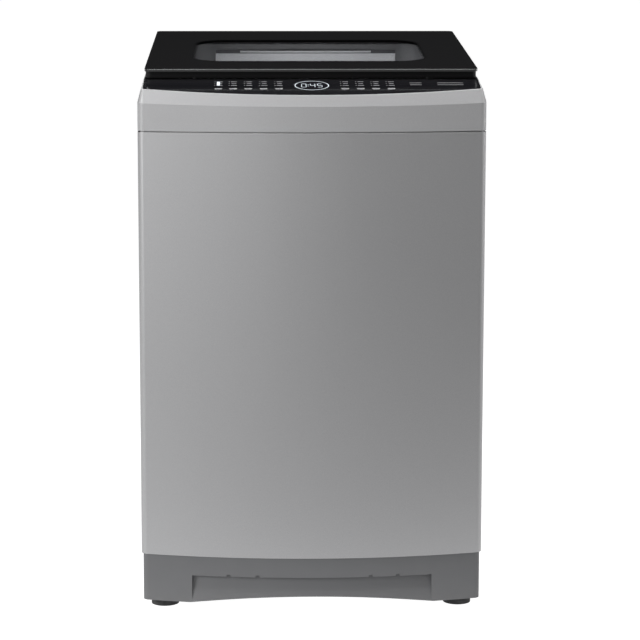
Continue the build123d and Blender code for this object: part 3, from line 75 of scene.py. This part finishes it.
# %% A wire that does sums
class Wire:
    def __init__(self, finish, socket):
        self.finish = finish
        self.socket = socket

    def sum(self, operation, *others):
        return self.finish.maths(operation, self, *others)

    def __add__(self, other):
        return self.sum("ADD", other)

    __radd__ = __add__

    def __sub__(self, other):
        return self.sum("SUBTRACT", other)

    def __rsub__(self, other):
        return self.finish.maths("SUBTRACT", other, self)

    def __mul__(self, other):
        return self.sum("MULTIPLY", other)

    __rmul__ = __mul__

    def __abs__(self):
        return self.sum("ABSOLUTE")

    def most(self, other):
        return self.sum("MAXIMUM", other)

    def least(self, other):
        return self.sum("MINIMUM", other)

    def root(self):
        return self.sum("SQRT")

    def ramp(self, low, high, start=0.0, end=1.0):
        settings = {"interpolation_type": "SMOOTHSTEP"}
        sockets = {"Value": self, "From Min": low, "From Max": high, "To Min": start, "To Max": end}
        return self.finish.node("ShaderNodeMapRange", settings, sockets)


# %% [markdown]
# A finish is one material. It starts as a plain surface shader with its steady numbers set on the
# shader itself: those are what every other program understands. Only what changes from place to
# place, such as a printed border or the grain of a sheet, comes in by wire.

# %% A finish made by the shader
OBJECT_PLACE = 3  # the coordinate node's output that gives the place on the piece


class Finish:
    def __init__(self, name, colour, rough=0.5, metal=0.0, coat=0.0, coat_rough=0.1, ior=1.45):
        self.material = bpy.data.materials.new(name)
        self.material.use_nodes = True
        self.tree = self.material.node_tree
        self.surface = self.tree.nodes["Principled BSDF"]
        steady = {
            "Base Color": (*colour, 1), "Roughness": rough, "Metallic": metal, "IOR": ior,
            "Coat Weight": coat, "Coat Roughness": coat_rough,
        }
        for socket, value in steady.items():
            self.surface.inputs[socket].default_value = value

    def put(self, socket, value):
        if isinstance(value, Wire):
            self.tree.links.new(value.socket, socket)
        else:
            socket.default_value = value

    def node(self, kind, settings=None, sockets=None, result=0):
        made = self.tree.nodes.new(kind)
        for key, value in (settings or {}).items():
            setattr(made, key, value)
        for key, value in (sockets or {}).items():
            self.put(made.inputs[key], value)
        return Wire(self, made.outputs[result])

    def maths(self, operation, *values):
        numbers = dict(enumerate(values))
        return self.node("ShaderNodeMath", {"operation": operation}, numbers)

    def blend(self, amount, first, second):
        # a Mix node's colours are its sockets 6 and 7, and its colour result is number 2
        sockets = {0: amount, 6: self.tint(first), 7: self.tint(second)}
        return self.node("ShaderNodeMix", {"data_type": "RGBA"}, sockets, result=2)

    def tint(self, colour):
        return colour if isinstance(colour, Wire) else (*colour, 1)

    def place(self):
        here = self.node("ShaderNodeTexCoord", result=OBJECT_PLACE)
        made = self.tree.nodes.new("ShaderNodeSeparateXYZ")
        self.tree.links.new(here.socket, made.inputs[0])
        return [Wire(self, socket) for socket in made.outputs]

    def stretched(self, x, y, z):
        here = self.node("ShaderNodeTexCoord", result=OBJECT_PLACE)
        sockets = {0: here, 1: (x, y, z)}
        return self.node("ShaderNodeVectorMath", {"operation": "MULTIPLY"}, sockets)

    def grain(self, scale, detail=2.0, rough=0.5, stretch=(1, 1, 1)):
        sockets = {
            "Vector": self.stretched(*stretch), "Scale": scale, "Detail": detail,
            "Roughness": rough,
        }
        return self.node("ShaderNodeTexNoise", None, sockets)

    def relief(self, height, depth, strength=1.0):
        sockets = {"Height": height, "Distance": depth, "Strength": strength}
        self.feed("Normal", self.node("ShaderNodeBump", None, sockets))

    def feed(self, socket, value):
        self.put(self.surface.inputs[socket], value)

    def finish_on(self, *names):
        for name in names:
            mesh = nodes[name].data
            mesh.materials.clear()
            mesh.materials.append(self.material)
        print(self.material.name, "on", ", ".join(names))


# %% [markdown]
# The cabinet is steel sheet with a silver grey baked paint: fine aluminium flakes under a thin
# clear layer. Flakes could be drawn one by one, but at arm's length they only make the paint a
# little uneven, so a very fine noise moves the colour by a few percent and a slow one moves the
# gloss.

# %% Silver paint of the cabinet
paint = Finish(
    "cabinet_paint", (0.32, 0.32, 0.325), rough=0.48, metal=0.6, coat=0.05, coat_rough=0.3
)
flake = paint.grain(1800.0, detail=1.0).ramp(0.3, 0.7)
paint.feed("Base Color", paint.blend(flake, (0.3, 0.3, 0.305), (0.345, 0.345, 0.35)))
paint.feed("Roughness", paint.grain(3.0).ramp(0.3, 0.7, 0.46, 0.5))
paint.relief(paint.grain(260.0, detail=2.0), 0.00002, 0.35)
paint.finish_on("cabinet_shell")

# %% [markdown]
# The lid and the console lie on planes that rise to the rear. Many finishes and small pieces need
# to know where a point lies on such a slope, so that sum is written once.

# %% Where a point lies on the sloping lid
bed_start = Vector((0.0, -0.204, 0.913))
bed_slope = radians(6.2)
console_slope = radians(12.5)


def on_slope(slope, x, along, above):
    """A point stated along and above a plane that rises to the rear from the lid's front edge."""
    back = Vector((0, cos(slope), sin(slope)))
    up = Vector((0, -sin(slope), cos(slope)))
    return bed_start + Vector((x, 0, 0)) + back * along + up * above


def along_lid(finish):
    """Wires for the sideways and rearward place on the lid."""
    x, y, z = finish.place()
    rearward = (y - bed_start.y) * cos(bed_slope) + (z - bed_start.z) * sin(bed_slope)
    return x, rearward


def height_on_lid(finish):
    """A wire for the height over the plane the lid rests on."""
    _, y, z = finish.place()
    return (z - bed_start.z) * cos(bed_slope) - (y - bed_start.y) * sin(bed_slope)


# %% [markdown]
# The top cover is moulded plastic in the same silver, but it has no sheet metal's flatness: the
# mould is sand blasted a little, which breaks the light up. A fine bump gives that soft sheen. The
# deck under the lid is coloured near black as painted shade, standing for the shadow that the lid
# casts in the gap below the glass.

# %% Silver plastic of the top cover
cover = Finish(
    "cover_silver", (0.31, 0.31, 0.315), rough=0.4, metal=0.15, coat=0.15, coat_rough=0.3
)
speck = cover.grain(1500.0, detail=1.0)
silver = cover.blend(speck.ramp(0.3, 0.7), (0.29, 0.29, 0.295), (0.33, 0.33, 0.335))
x, rearward = along_lid(cover)
behind_edge = rearward.ramp(-0.012, -0.010)
between_sides = abs(x).ramp(0.2855, 0.2865, 1.0, 0.0)
# painted shade: the deck under the lid is coloured near black where the lid's shadow falls
deck_painted_shade = behind_edge * between_sides * height_on_lid(cover).ramp(-0.003, -0.002)
cover.feed("Base Color", cover.blend(deck_painted_shade, silver, (0.008, 0.008, 0.009)))
cover.feed("Roughness", cover.grain(6.0).ramp(0.3, 0.7, 0.38, 0.45))
cover.relief(cover.grain(900.0, detail=2.0), 0.00003, 0.3)
cover.finish_on("top_cover")

# %% [markdown]
# The base is dark grey moulded plastic with a grained surface that hides scuffs. Dust settles
# near the floor, so the grey turns slightly paler in its lowest centimetres.

# %% Grained plastic of the base
base = Finish("base_grey", (0.115, 0.116, 0.12), rough=0.6)
_, _, z = base.place()
dust = z.ramp(0.01, 0.06, 1.0, 0.0) * base.grain(40.0, detail=4.0)
base.feed("Base Color", base.blend(dust * 0.35, (0.104, 0.105, 0.109), (0.15, 0.15, 0.15)))
base.feed("Roughness", base.grain(25.0).ramp(0.3, 0.7, 0.55, 0.66))
base.relief(base.grain(1100.0, detail=3.0), 0.00006, 0.5)
base.finish_on("base_frame")

# %% [markdown]
# Glossy black plastic is nearly a mirror. What tells it from a black hole is its reflection and
# the faint haze of fine wiping marks, so the gloss is uneven in long thin streaks.

# %% Glossy black of the console and keys
gloss = Finish("console_black", (0.006, 0.006, 0.007), rough=0.1, coat=0.6, coat_rough=0.03)
wiping = gloss.grain(30.0, detail=4.0, stretch=(0.4, 2.0, 2.0))
gloss.feed("Roughness", wiping.ramp(0.3, 0.75, 0.07, 0.16))
gloss.finish_on("console_fascia")
key_gloss = Finish("key_black", (0.009, 0.009, 0.01), rough=0.14, coat=0.5, coat_rough=0.05)
key_gloss.feed("Roughness", key_gloss.grain(60.0, detail=3.0).ramp(0.3, 0.75, 0.1, 0.2))
key_names = [f"key_{number}" for number in range(1, 10)]
key_gloss.finish_on(*key_names)

# %% [markdown]
# The lid is one pane of glass. A black border is baked on its underside, and the clear part in the
# middle is a little smoky. One material does both: it measures how far the point is from the edge of a
# rounded rectangle drawn in the pane's own slope, and switches from black glass to see-through
# glass there. Light has to pass the clear part and light the drum, so that part is a see-through
# shader under a glossy one, not a bending one.

# %% Black bordered smoky glass
window_half_x, window_half_v = 0.209, 0.1415
window_middle, window_round = 0.2335, 0.055
pane = Finish("lid_glass", (0.006, 0.006, 0.0065), rough=0.05, coat=0.5, coat_rough=0.02, ior=1.5)
x, rearward = along_lid(pane)
out_x = abs(x) - (window_half_x - window_round)
out_v = abs(rearward - window_middle) - (window_half_v - window_round)
corner = (out_x.most(0.0) * out_x.most(0.0) + out_v.most(0.0) * out_v.most(0.0)).root()
edge = corner + out_x.most(out_v).least(0.0) - window_round
border = edge.ramp(-0.009, 0.001)
ground = rearward.ramp(-0.0014, -0.0009, 1.0, 0.0) * height_on_lid(pane).ramp(0.0168, 0.0173)
pane.feed("Base Color", pane.blend(ground, (0.006, 0.006, 0.0065), (0.14, 0.145, 0.145)))
pane.feed("Roughness", pane.grain(14.0, detail=4.0).ramp(0.3, 0.75, 0.03, 0.08))
clear = pane.node("ShaderNodeBsdfTransparent", None, {"Color": (0.88, 0.885, 0.895, 1)})
shine = pane.node("ShaderNodeBsdfGlossy", None, {"Color": (1, 1, 1, 1), "Roughness": 0.03})
window_shine = 0.1
window = pane.node("ShaderNodeMixShader", None, {0: window_shine, 1: clear, 2: shine})
black_glass = Wire(pane, pane.surface.outputs[0])
both = pane.node("ShaderNodeMixShader", None, {0: border, 1: window, 2: black_glass})
pane.put(pane.tree.nodes["Material Output"].inputs["Surface"], both)
pane.finish_on("lid_glass")

# %% [markdown]
# The frame under the glass and the rubber pieces are both black, but not the same black: the frame
# is satin, and rubber is dull with a pale bloom on it. The collar inside the opening is dark grey.

# %% Frame, collar and rubber
satin = Finish("frame_black", (0.005, 0.005, 0.0055), rough=0.5, ior=1.25)
satin.relief(satin.grain(1200.0), 0.00004, 0.4)
satin.finish_on("lid_frame")
collar = Finish("deck_dark", (0.12, 0.12, 0.124), rough=0.45)
collar.feed("Roughness", collar.grain(20.0).ramp(0.3, 0.7, 0.4, 0.52))
collar.relief(collar.grain(1000.0), 0.00004, 0.4)
collar.finish_on("deck_funnel")
rubber = Finish("rubber_black", (0.02, 0.02, 0.021), rough=0.75)
bloom = rubber.grain(70.0, detail=5.0)
dull = rubber.blend(bloom.ramp(0.35, 0.75), (0.016, 0.016, 0.017), (0.04, 0.04, 0.041))
rubber.feed("Base Color", dull)
rubber.relief(rubber.grain(500.0), 0.0001, 0.4)
rubber.finish_on(
    "front_foot_left", "front_foot_right", "rear_feet", "lid_bumpers", "inlet_hose", "shaft_seal",
    "drive_belt", "sump_hose", "drain_hose", "cord_gland", "pressure_tube",
)

# %% [markdown]
# The drawer front is the pale band seen through the window. Above it, the recess under the
# curved pull lip is coloured dark as painted shade; the lip is only a thin bright line from the front.

# %% Pale drawer
drawer = Finish("drawer_grey", (0.62, 0.62, 0.63), rough=0.4, coat=0.2)
drawer.feed("Roughness", drawer.grain(18.0).ramp(0.3, 0.7, 0.34, 0.46))
_, y, z = drawer.place()
# painted shade: the recess under the pull lip is coloured dark where its shadow falls
painted_gap_shade = z.ramp(0.9440, 0.9444) * y.ramp(0.2345, 0.2352)
drawer.feed("Base Color", drawer.blend(painted_gap_shade, (0.62, 0.62, 0.63), (0.07, 0.07, 0.075)))
drawer.finish_on("detergent_drawer")

# %% [markdown]
# The hidden plastics are plain moulded polypropylene and the wash plate is a shinier one. A slow
# noise keeps each from looking like flat paint.

# %% Plain moulded plastics
def moulded(name, colour, rough, coat, *pieces):
    plastic = Finish(name, colour, rough=rough, coat=coat)
    darker = tuple(0.93 * part for part in colour)
    plastic.feed("Base Color", plastic.blend(plastic.grain(9.0, detail=4.0), darker, colour))
    plastic.feed("Roughness", plastic.grain(30.0).ramp(0.3, 0.7, rough - 0.05, rough + 0.06))
    plastic.relief(plastic.grain(700.0), 0.00003, 0.3)
    plastic.finish_on(*pieces)


moulded("tub_plastic", (0.74, 0.75, 0.76), 0.5, 0.0, "outer_tub", "tub_ring")
moulded(
    "pulsator_plastic", (0.5, 0.52, 0.55), 0.28, 0.3, "basket_base", "balance_ring", "pulsator",
    "pulsator_cap",
)
moulded(
    "white_fittings", (0.78, 0.78, 0.77), 0.45, 0.0, "dispenser_housing", "inlet_valve",
    "rod_seats", "rod_caps", "suspension_cups", "drain_pump", "drain_outlet", "pressure_sensor",
)
moulded("board_green", (0.03, 0.18, 0.07), 0.4, 0.2, "control_board")

# %% [markdown]
# Zinc plated sheet shows spangle: flat crystals of slightly different grey, each with its own
# gloss. A cell pattern gives every crystal one random value, which moves colour and roughness.

# %% Zinc, steel and cast aluminium
CELL_COLOUR = 1  # the cell pattern's output that holds one random colour per crystal


def plated(name, colour, rough, crystal, *pieces):
    metal = Finish(name, colour, rough=rough, metal=0.85)
    sockets = {"Vector": metal.stretched(1, 1, 1), "Scale": crystal}
    cells = metal.node("ShaderNodeTexVoronoi", None, sockets, result=CELL_COLOUR)
    grey = metal.node("ShaderNodeRGBToBW", None, {0: cells})
    darker = tuple(0.86 * part for part in colour)
    metal.feed("Base Color", metal.blend(grey, darker, colour))
    metal.feed("Roughness", grey.ramp(0.1, 0.9, rough - 0.06, rough + 0.08))
    metal.finish_on(*pieces)


plated("back_steel", (0.56, 0.57, 0.58), 0.42, 70.0, "rear_panel")
plated(
    "steel_parts", (0.55, 0.55, 0.56), 0.32, 240.0, "panel_screws", "corner_plates",
    "foot_locknuts", "hinge_brackets", "hinge_pins", "tub_bracket", "motor_body",
    "suspension_rods", "suspension_springs", "spin_tube", "drive_shaft",
)
plated(
    "case_aluminium", (0.6, 0.6, 0.61), 0.5, 500.0, "gearcase", "motor_pulley", "drive_pulley"
)

# %% [markdown]
# The drum is stainless sheet, which the rollers leave with fine level streaks. Noise stretched
# along the sheet and squeezed up it gives them. The display in the console is smoked plastic, and
# almost as glossy as glass.

# %% Stainless sheet of the drum
stainless = Finish("basket_steel", (0.6, 0.6, 0.61), rough=0.26, metal=1.0)
brushed = stainless.grain(300.0, detail=3.0, stretch=(0.15, 0.15, 4.0))
stainless.feed("Roughness", brushed.ramp(0.3, 0.7, 0.2, 0.34))
stainless.finish_on("wash_basket")

# %% Dark window of the display
smoke = Finish("display_clear", (0.008, 0.008, 0.01), rough=0.06, coat=0.7, coat_rough=0.02)
smoke.feed("Roughness", smoke.grain(40.0, detail=3.0).ramp(0.3, 0.75, 0.04, 0.1))
smoke.finish_on("display_window")

# %% [markdown]
# Real edges are never razor sharp: a folded sheet, a mould and ground glass all have a small
# rounding that catches a thin line of light. The solids have sharp edges, so each visible one is
# welded, gets a narrow bevel and is shaded smooth over its curves.

# %% Soften the edges
usual_edge, crease_edge = 35.0, 9.0  # degrees; the cover's facet meets the front at a flat angle


def soften(name, width, angle):
    piece = nodes[name]
    weld = piece.modifiers.new("weld", "WELD")
    weld.merge_threshold = 0.00001
    bevel = piece.modifiers.new("edges", "BEVEL")
    bevel.width = width
    bevel.segments = 2
    bevel.limit_method = "ANGLE"
    bevel.angle_limit = radians(angle)
    piece.data.shade_smooth()
    even = piece.modifiers.new("even", "WEIGHTED_NORMAL")
    even.weight = 80
    even.keep_sharp = False


soft_edges = {
    "lid_glass": 0.0011, "console_fascia": 0.0004, "top_cover": 0.0005,
    "cabinet_shell": 0.0003, "base_frame": 0.0006, "front_foot_left": 0.0012,
    "front_foot_right": 0.0012, "rear_feet": 0.0012, "deck_funnel": 0.0005,
    "detergent_drawer": 0.0005,
}
soft_edges.update({name: 0.0005 for name in key_names})
for name, width in soft_edges.items():
    soften(name, width, crease_edge if name == "top_cover" else usual_edge)
print("softened", len(soft_edges), "pieces")

# %% [markdown]
# Small added pieces are built face by face. One helper turns corners and faces into a piece,
# gives it a finish and says which part of the machine it moves with.

# %% A helper that makes a piece
def make_piece(name, corners, faces, material, body, smooth=False):
    mesh = bpy.data.meshes.new(name)
    mesh.from_pydata([tuple(corner) for corner in corners], [], faces)
    mesh.materials.append(material)
    if smooth:
        mesh.shade_smooth()
    mesh.update()
    piece = bpy.data.objects.new(name, mesh)
    bpy.context.collection.objects.link(piece)
    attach(piece, body)
    return piece


class Sketch:
    """Collects thin raised shapes drawn on a sloping plane."""

    def __init__(self, slope, lift, thickness):
        self.slope, self.lift, self.thickness = slope, lift, thickness
        self.corners, self.faces = [], []

    def shape(self, outline):
        start, count = len(self.corners), len(outline)
        for height in (self.lift, self.lift + self.thickness):
            self.corners += [on_slope(self.slope, x, along, height) for x, along in outline]
        top = [start + count + index for index in range(count)]
        self.faces.append(top)
        self.faces.append([start + index for index in reversed(range(count))])
        for index in range(count):
            low, low_after = start + index, start + (index + 1) % count
            self.faces.append([low, low_after, low_after + count, low + count])

    def bar(self, x, along, wide, deep):
        self.shape([(x - wide / 2, along - deep / 2), (x + wide / 2, along - deep / 2),
                    (x + wide / 2, along + deep / 2), (x - wide / 2, along + deep / 2)])

    def arc(self, x, along, radius, wide, start, end, steps=40):
        for step in range(steps):
            first = start + (end - start) * step / steps
            second = start + (end - start) * (step + 1) / steps
            near, far = radius - wide / 2, radius + wide / 2
            self.shape([(x + near * cos(first), along + near * sin(first)),
                        (x + far * cos(first), along + far * sin(first)),
                        (x + far * cos(second), along + far * sin(second)),
                        (x + near * cos(second), along + near * sin(second))])

    def dot(self, x, along, radius, steps=16):
        turns = [2 * pi * step / steps for step in range(steps)]
        self.shape([(x + radius * cos(turn), along + radius * sin(turn)) for turn in turns])

    def piece(self, name, material, body, slot):
        return make_piece(name, self.corners, self.faces, material, body)


# %% [markdown]
# The console is printed from behind with pale legends: behind each key, three short dim bars with
# an indicator light each, and on the key a brighter bar over an arc. They hold no words. One
# indicator is lit. The round display shows a time in seven-segment digits. Every mark is made as a
# raised shape, thinner than a hair, so it stays sharp from close by.

# %% Printed legends of the console
ink = Finish("legend_ink", (0.16, 0.16, 0.165), rough=0.35)
ink.feed("Roughness", ink.grain(200.0).ramp(0.3, 0.7, 0.3, 0.42))
bright_ink = Finish("key_ink", (0.42, 0.42, 0.43), rough=0.35)
bright_ink.feed("Roughness", bright_ink.grain(200.0).ramp(0.3, 0.7, 0.3, 0.42))
key_x = [-0.158, -0.1335, -0.1075, -0.082, -0.056, 0.056, 0.082, 0.108, 0.134]
key_along = -0.060
legend_rows = (-0.014, -0.026, -0.038)
print_on, key_print_on, print_thick = 0.00003, 0.00052, 0.00006
legends = Sketch(console_slope, print_on, print_thick)
for x in key_x:
    for row, along in enumerate(legend_rows):
        legends.bar(x + 0.0015, along, 0.0100 - 0.002 * (row % 2), 0.0028)
        legends.dot(x - 0.0066, along, 0.0011)
for along in (-0.022, -0.034):
    legends.bar(0.177, along, 0.02, 0.0022)
    legends.bar(0.236, along, 0.044, 0.0022)
legends.piece("console_legends", ink.material, "cabinet", "console_black")
for number, x in enumerate(key_x, start=1):
    mark = Sketch(console_slope, key_print_on, print_thick)
    mark.bar(x, key_along + 0.0008, 0.0125, 0.0024)
    mark.arc(x, key_along, 0.0062, 0.0007, radians(205), radians(335), steps=16)
    mark.piece(f"key_mark_{number}", bright_ink.material, f"key_{number}", "key_black")
print("printed legends by", len(key_x), "keys")

# %% Lit indicator and display digits
lamp = Finish("lamp_white", (0.4, 0.42, 0.45), rough=0.4)
lamp.surface.inputs["Emission Strength"].default_value = 0.2
lamp.feed("Emission Color", lamp.blend(lamp.grain(400.0), (0.75, 0.85, 1.0), (0.9, 0.95, 1.0)))
glow_thick = 0.00008
lit = Sketch(console_slope, print_on, glow_thick)
lit.bar(key_x[0] - 0.0005, -0.0260, 0.0052, 0.024)
lit.piece("lit_indicator", lamp.material, "cabinet", "console_black")

# each segment's side, its height and whether it is upright, in the seven letters they go by
segments = {
    "a": (0, 1.0, 0), "b": (1, 0.5, 1), "c": (1, -0.5, 1), "d": (0, -1.0, 0), "e": (-1, -0.5, 1),
    "f": (-1, 0.5, 1), "g": (0, 0, 0),
}
digits = {"0": "abcdef", "4": "bcfg", "5": "acdfg"}
dim = Finish("digit_glow", (0.35, 0.38, 0.4), rough=0.4)
dim.surface.inputs["Emission Strength"].default_value = 0.3
dim.feed("Emission Color", dim.blend(dim.grain(400.0), (0.7, 0.8, 0.9), (0.9, 0.95, 1.0)))
readout = Sketch(console_slope, print_on, glow_thick)
display_along = -0.038
half_wide, half_high = 0.0038, 0.0105
upright_bar, level_bar = (0.0011, 0.0095), (0.0068, 0.0013)
for digit, centre in (("0", -0.0135), ("4", 0.0015), ("5", 0.0135)):
    for name in digits[digit]:
        side, high, upright = segments[name]
        wide, deep = upright_bar if upright else level_bar
        readout.bar(centre + side * half_wide, display_along + high * half_high, wide, deep)
for along in (0.004, -0.004):
    readout.dot(-0.0062, display_along + along, 0.0009)
readout.arc(0, display_along, 0.0285, 0.0013, 0, 2 * pi, steps=64)
readout.piece("display_digits", dim.material, "cabinet", "display_clear")
print("display has", len(readout.faces), "faces")

# %% [markdown]
# The drum's wall is punched with rows of small holes that let the water out. Cutting each hole
# with a boolean would be slow, so the wall is built as a grid of squarish cells bent into a tube,
# and each cell is a ring of faces around an eight-sided hole. The top and bottom rows, and short
# dashes between them, stay whole. A little thickness is added after.

# %% Punched drum wall
drum_middle = Vector((0, 0.01, 0))
drum_radius, drum_low, drum_high = 0.2354, 0.336, 0.736
cells_round, cells_high = 72, 20
cell_wide = 2 * pi * drum_radius / cells_round
cell_high = (drum_high - drum_low) / cells_high
hole_radius, hole_sides = 0.0028, 8
turns = [2 * pi / hole_sides * step for step in range(hole_sides)]
corners, faces = [], []


def on_drum(across, height):
    turn = across / drum_radius
    return drum_middle + Vector((drum_radius * cos(turn), drum_radius * sin(turn), height))


def square_reach(turn):
    """How much further a square's rim lies in this direction than a circle inside it."""
    return 1 / max(abs(cos(turn)), abs(sin(turn)))


def is_whole(ring, row):
    """The top and bottom rows have no holes, and neither do short dashes between them."""
    return row in (0, cells_high - 1) or (ring // 6) % 2 == 1 and row % 5 == 4


for ring in range(cells_round):
    for row in range(cells_high):
        across = (ring + 0.5) * cell_wide
        height = drum_low + (row + 0.5) * cell_high
        start = len(corners)
        for turn in turns:
            side, rise = square_reach(turn) * cos(turn), square_reach(turn) * sin(turn)
            corners.append(on_drum(across + cell_wide / 2 * side, height + cell_high / 2 * rise))
        if is_whole(ring, row):
            faces.append([start + step for step in range(hole_sides)])
            continue
        for turn in turns:
            side, rise = hole_radius * cos(turn), hole_radius * sin(turn)
            corners.append(on_drum(across + side, height + rise))
        for step in range(hole_sides):
            outer, outer_after = start + step, start + (step + 1) % hole_sides
            faces.append([outer, outer_after, outer_after + hole_sides, outer + hole_sides])
drum = make_piece(
    "punched_drum", corners, faces, stainless.material, "basket", smooth=True
)
weld = drum.modifiers.new("weld", "WELD")
weld.merge_threshold = 0.00002
sheet = drum.modifiers.new("sheet", "SOLIDIFY")
sheet.thickness, sheet.offset = 0.001, 0.0
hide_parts("wash_basket")
print("drum wall has", len(faces), "faces")

# %% [markdown]
# The tub hangs on springs and can move down and up. Its four springs, the rubber bellows to the
# pump and the thin air tube each have one end on the cabinet and one on the tub, so they have to
# stretch. Each is copied in its place and the solid piece is hidden; the copy's points are not tied
# to the cabinet or the tub.

# %% Copies of the springs and hoses between cabinet and tub
def stretchy(name, fixed_z, moving_z):
    solid = nodes[name]
    mesh = solid.data.copy()
    mesh.transform(solid.matrix_world)
    piece = bpy.data.objects.new(f"{name}_moving", mesh)
    bpy.context.collection.objects.link(piece)
    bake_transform(piece)
    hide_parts(name)
    print(name, "stretches between", fixed_z, "and", moving_z)


stretchy("suspension_springs", 0.318, 0.365)
stretchy("sump_hose", 0.099, 0.298)
stretchy("pressure_tube", 0.857, 0.412)

# %% [markdown]
# The machine stands on a wide pale floor that glows. It is an even white under the machine and
# behind it. Further to the front it is dimmer, or its light would wash out the front's lower half.

# %% Floor
floor_finish = Finish("studio_floor", (0.35, 0.35, 0.35), rough=0.9)
cloudy = floor_finish.blend(floor_finish.grain(2.0), (0.34, 0.34, 0.34), (0.36, 0.36, 0.36))
floor_finish.feed("Base Color", cloudy)
floor_finish.surface.inputs["Emission Strength"].default_value = 1.0
_, y, _ = floor_finish.place()
behind = y.ramp(-0.72, -0.46)
floor_finish.feed("Emission Color", floor_finish.blend(behind, (0.3, 0.3, 0.3), (1, 1, 1)))
floor_mesh = bpy.data.meshes.new("floor")
reach = 500.0
floor_corners = [(-reach, -reach, 0), (reach, -reach, 0), (reach, reach, 0), (-reach, reach, 0)]
floor_mesh.from_pydata(floor_corners, [], [(0, 1, 2, 3)])
floor_mesh.materials.append(floor_finish.material)
floor = bpy.data.objects.new("floor", floor_mesh)
bpy.context.collection.objects.link(floor)
floor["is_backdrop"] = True
print("floor is", 2 * reach, "m wide")

# %% [markdown]
# The lights are soft areas, as in a product studio. A strong one at the left and a weak one in
# front shape the bowed front, a narrow one draws the right edge, a wide one hangs overhead, and a
# small one under the lid lets the drawer show through the window.

# %% Lights
def soft_light(name, place, aim, wide, tall, watts):
    lamp_data = bpy.data.lights.new(name, "AREA")
    lamp_data.shape = "RECTANGLE"
    lamp_data.size, lamp_data.size_y = wide, tall
    lamp_data.energy = watts
    light = bpy.data.objects.new(name, lamp_data)
    light.location = place
    light.rotation_mode = "QUATERNION"
    light.rotation_quaternion = (Vector(aim) - Vector(place)).to_track_quat("-Z", "Y")
    bpy.context.collection.objects.link(light)
    print(name, watts, "W at", place)


soft_light("key_left", (-3.6, -2.4, 1.9), (0, -0.2, 0.9), 1.8, 2.0, 130)
soft_light("front_left", (-1.3, -4.2, 1.5), (0, -0.3, 0.75), 0.9, 1.6, 24)
soft_light("rim_right", (2.4, -0.05, 1.2), (0.3, -0.25, 0.6), 0.6, 1.6, 13)
soft_light("overhead", (0.1, -0.45, 2.6), (0, -0.1, 0.9), 1.4, 1.0, 80)
soft_light("drum_fill", (0, -0.05, 0.86), (0, 0.235, 0.95), 0.36, 0.08, 0.55)

# %% [markdown]
# A real studio has pale walls, which show in glossy pieces as a faint sheen. The world gives that
# without any walls: its light is weakest behind the machine and a little stronger in front.

# %% Faint light of the walls
front_strength, rear_strength = 0.05, 0.012
world = bpy.data.worlds.new("studio")
world.use_nodes = True
world_tree = world.node_tree
direction = world_tree.nodes.new("ShaderNodeTexCoord")
parts = world_tree.nodes.new("ShaderNodeSeparateXYZ")
sky = world_tree.nodes.new("ShaderNodeMapRange")
sky.interpolation_type = "SMOOTHSTEP"
sky.inputs["From Min"].default_value, sky.inputs["From Max"].default_value = -0.5, 0.3
sky.inputs["To Min"].default_value = front_strength
sky.inputs["To Max"].default_value = rear_strength
world_tree.links.new(direction.outputs["Generated"], parts.inputs[0])
world_tree.links.new(parts.outputs["Y"], sky.inputs["Value"])
world_tree.links.new(sky.outputs[0], world_tree.nodes["Background"].inputs["Strength"])
world_tree.nodes["Background"].inputs["Color"].default_value = (1, 1, 1, 1)
bpy.context.scene.world = world
bpy.context.scene.view_settings.view_transform = "Standard"
print("walls shine", front_strength, "in front and", rear_strength, "behind")

# %% [markdown]
# The camera stands a little to the left and slightly above the lid, several machine depths away,
# so that upright edges stay nearly upright. A long lens brings the machine up to the frame's size,
# and a small shift of the lens centres it without tilting the camera further.

# %% Camera
camera_data = bpy.data.cameras.new("camera")
camera_data.sensor_width = 36.0
camera_data.lens = 120.77
camera_data.shift_x, camera_data.shift_y = 0.0373, -0.0535
camera = bpy.data.objects.new("camera", camera_data)
camera.location = (-0.0914, -3.8924, 1.0711)
camera.rotation_euler = (radians(90 - 7.937), 0, radians(-1.017))
bpy.context.collection.objects.link(camera)
bpy.context.scene.camera = camera
print("camera is at", tuple(camera.location))
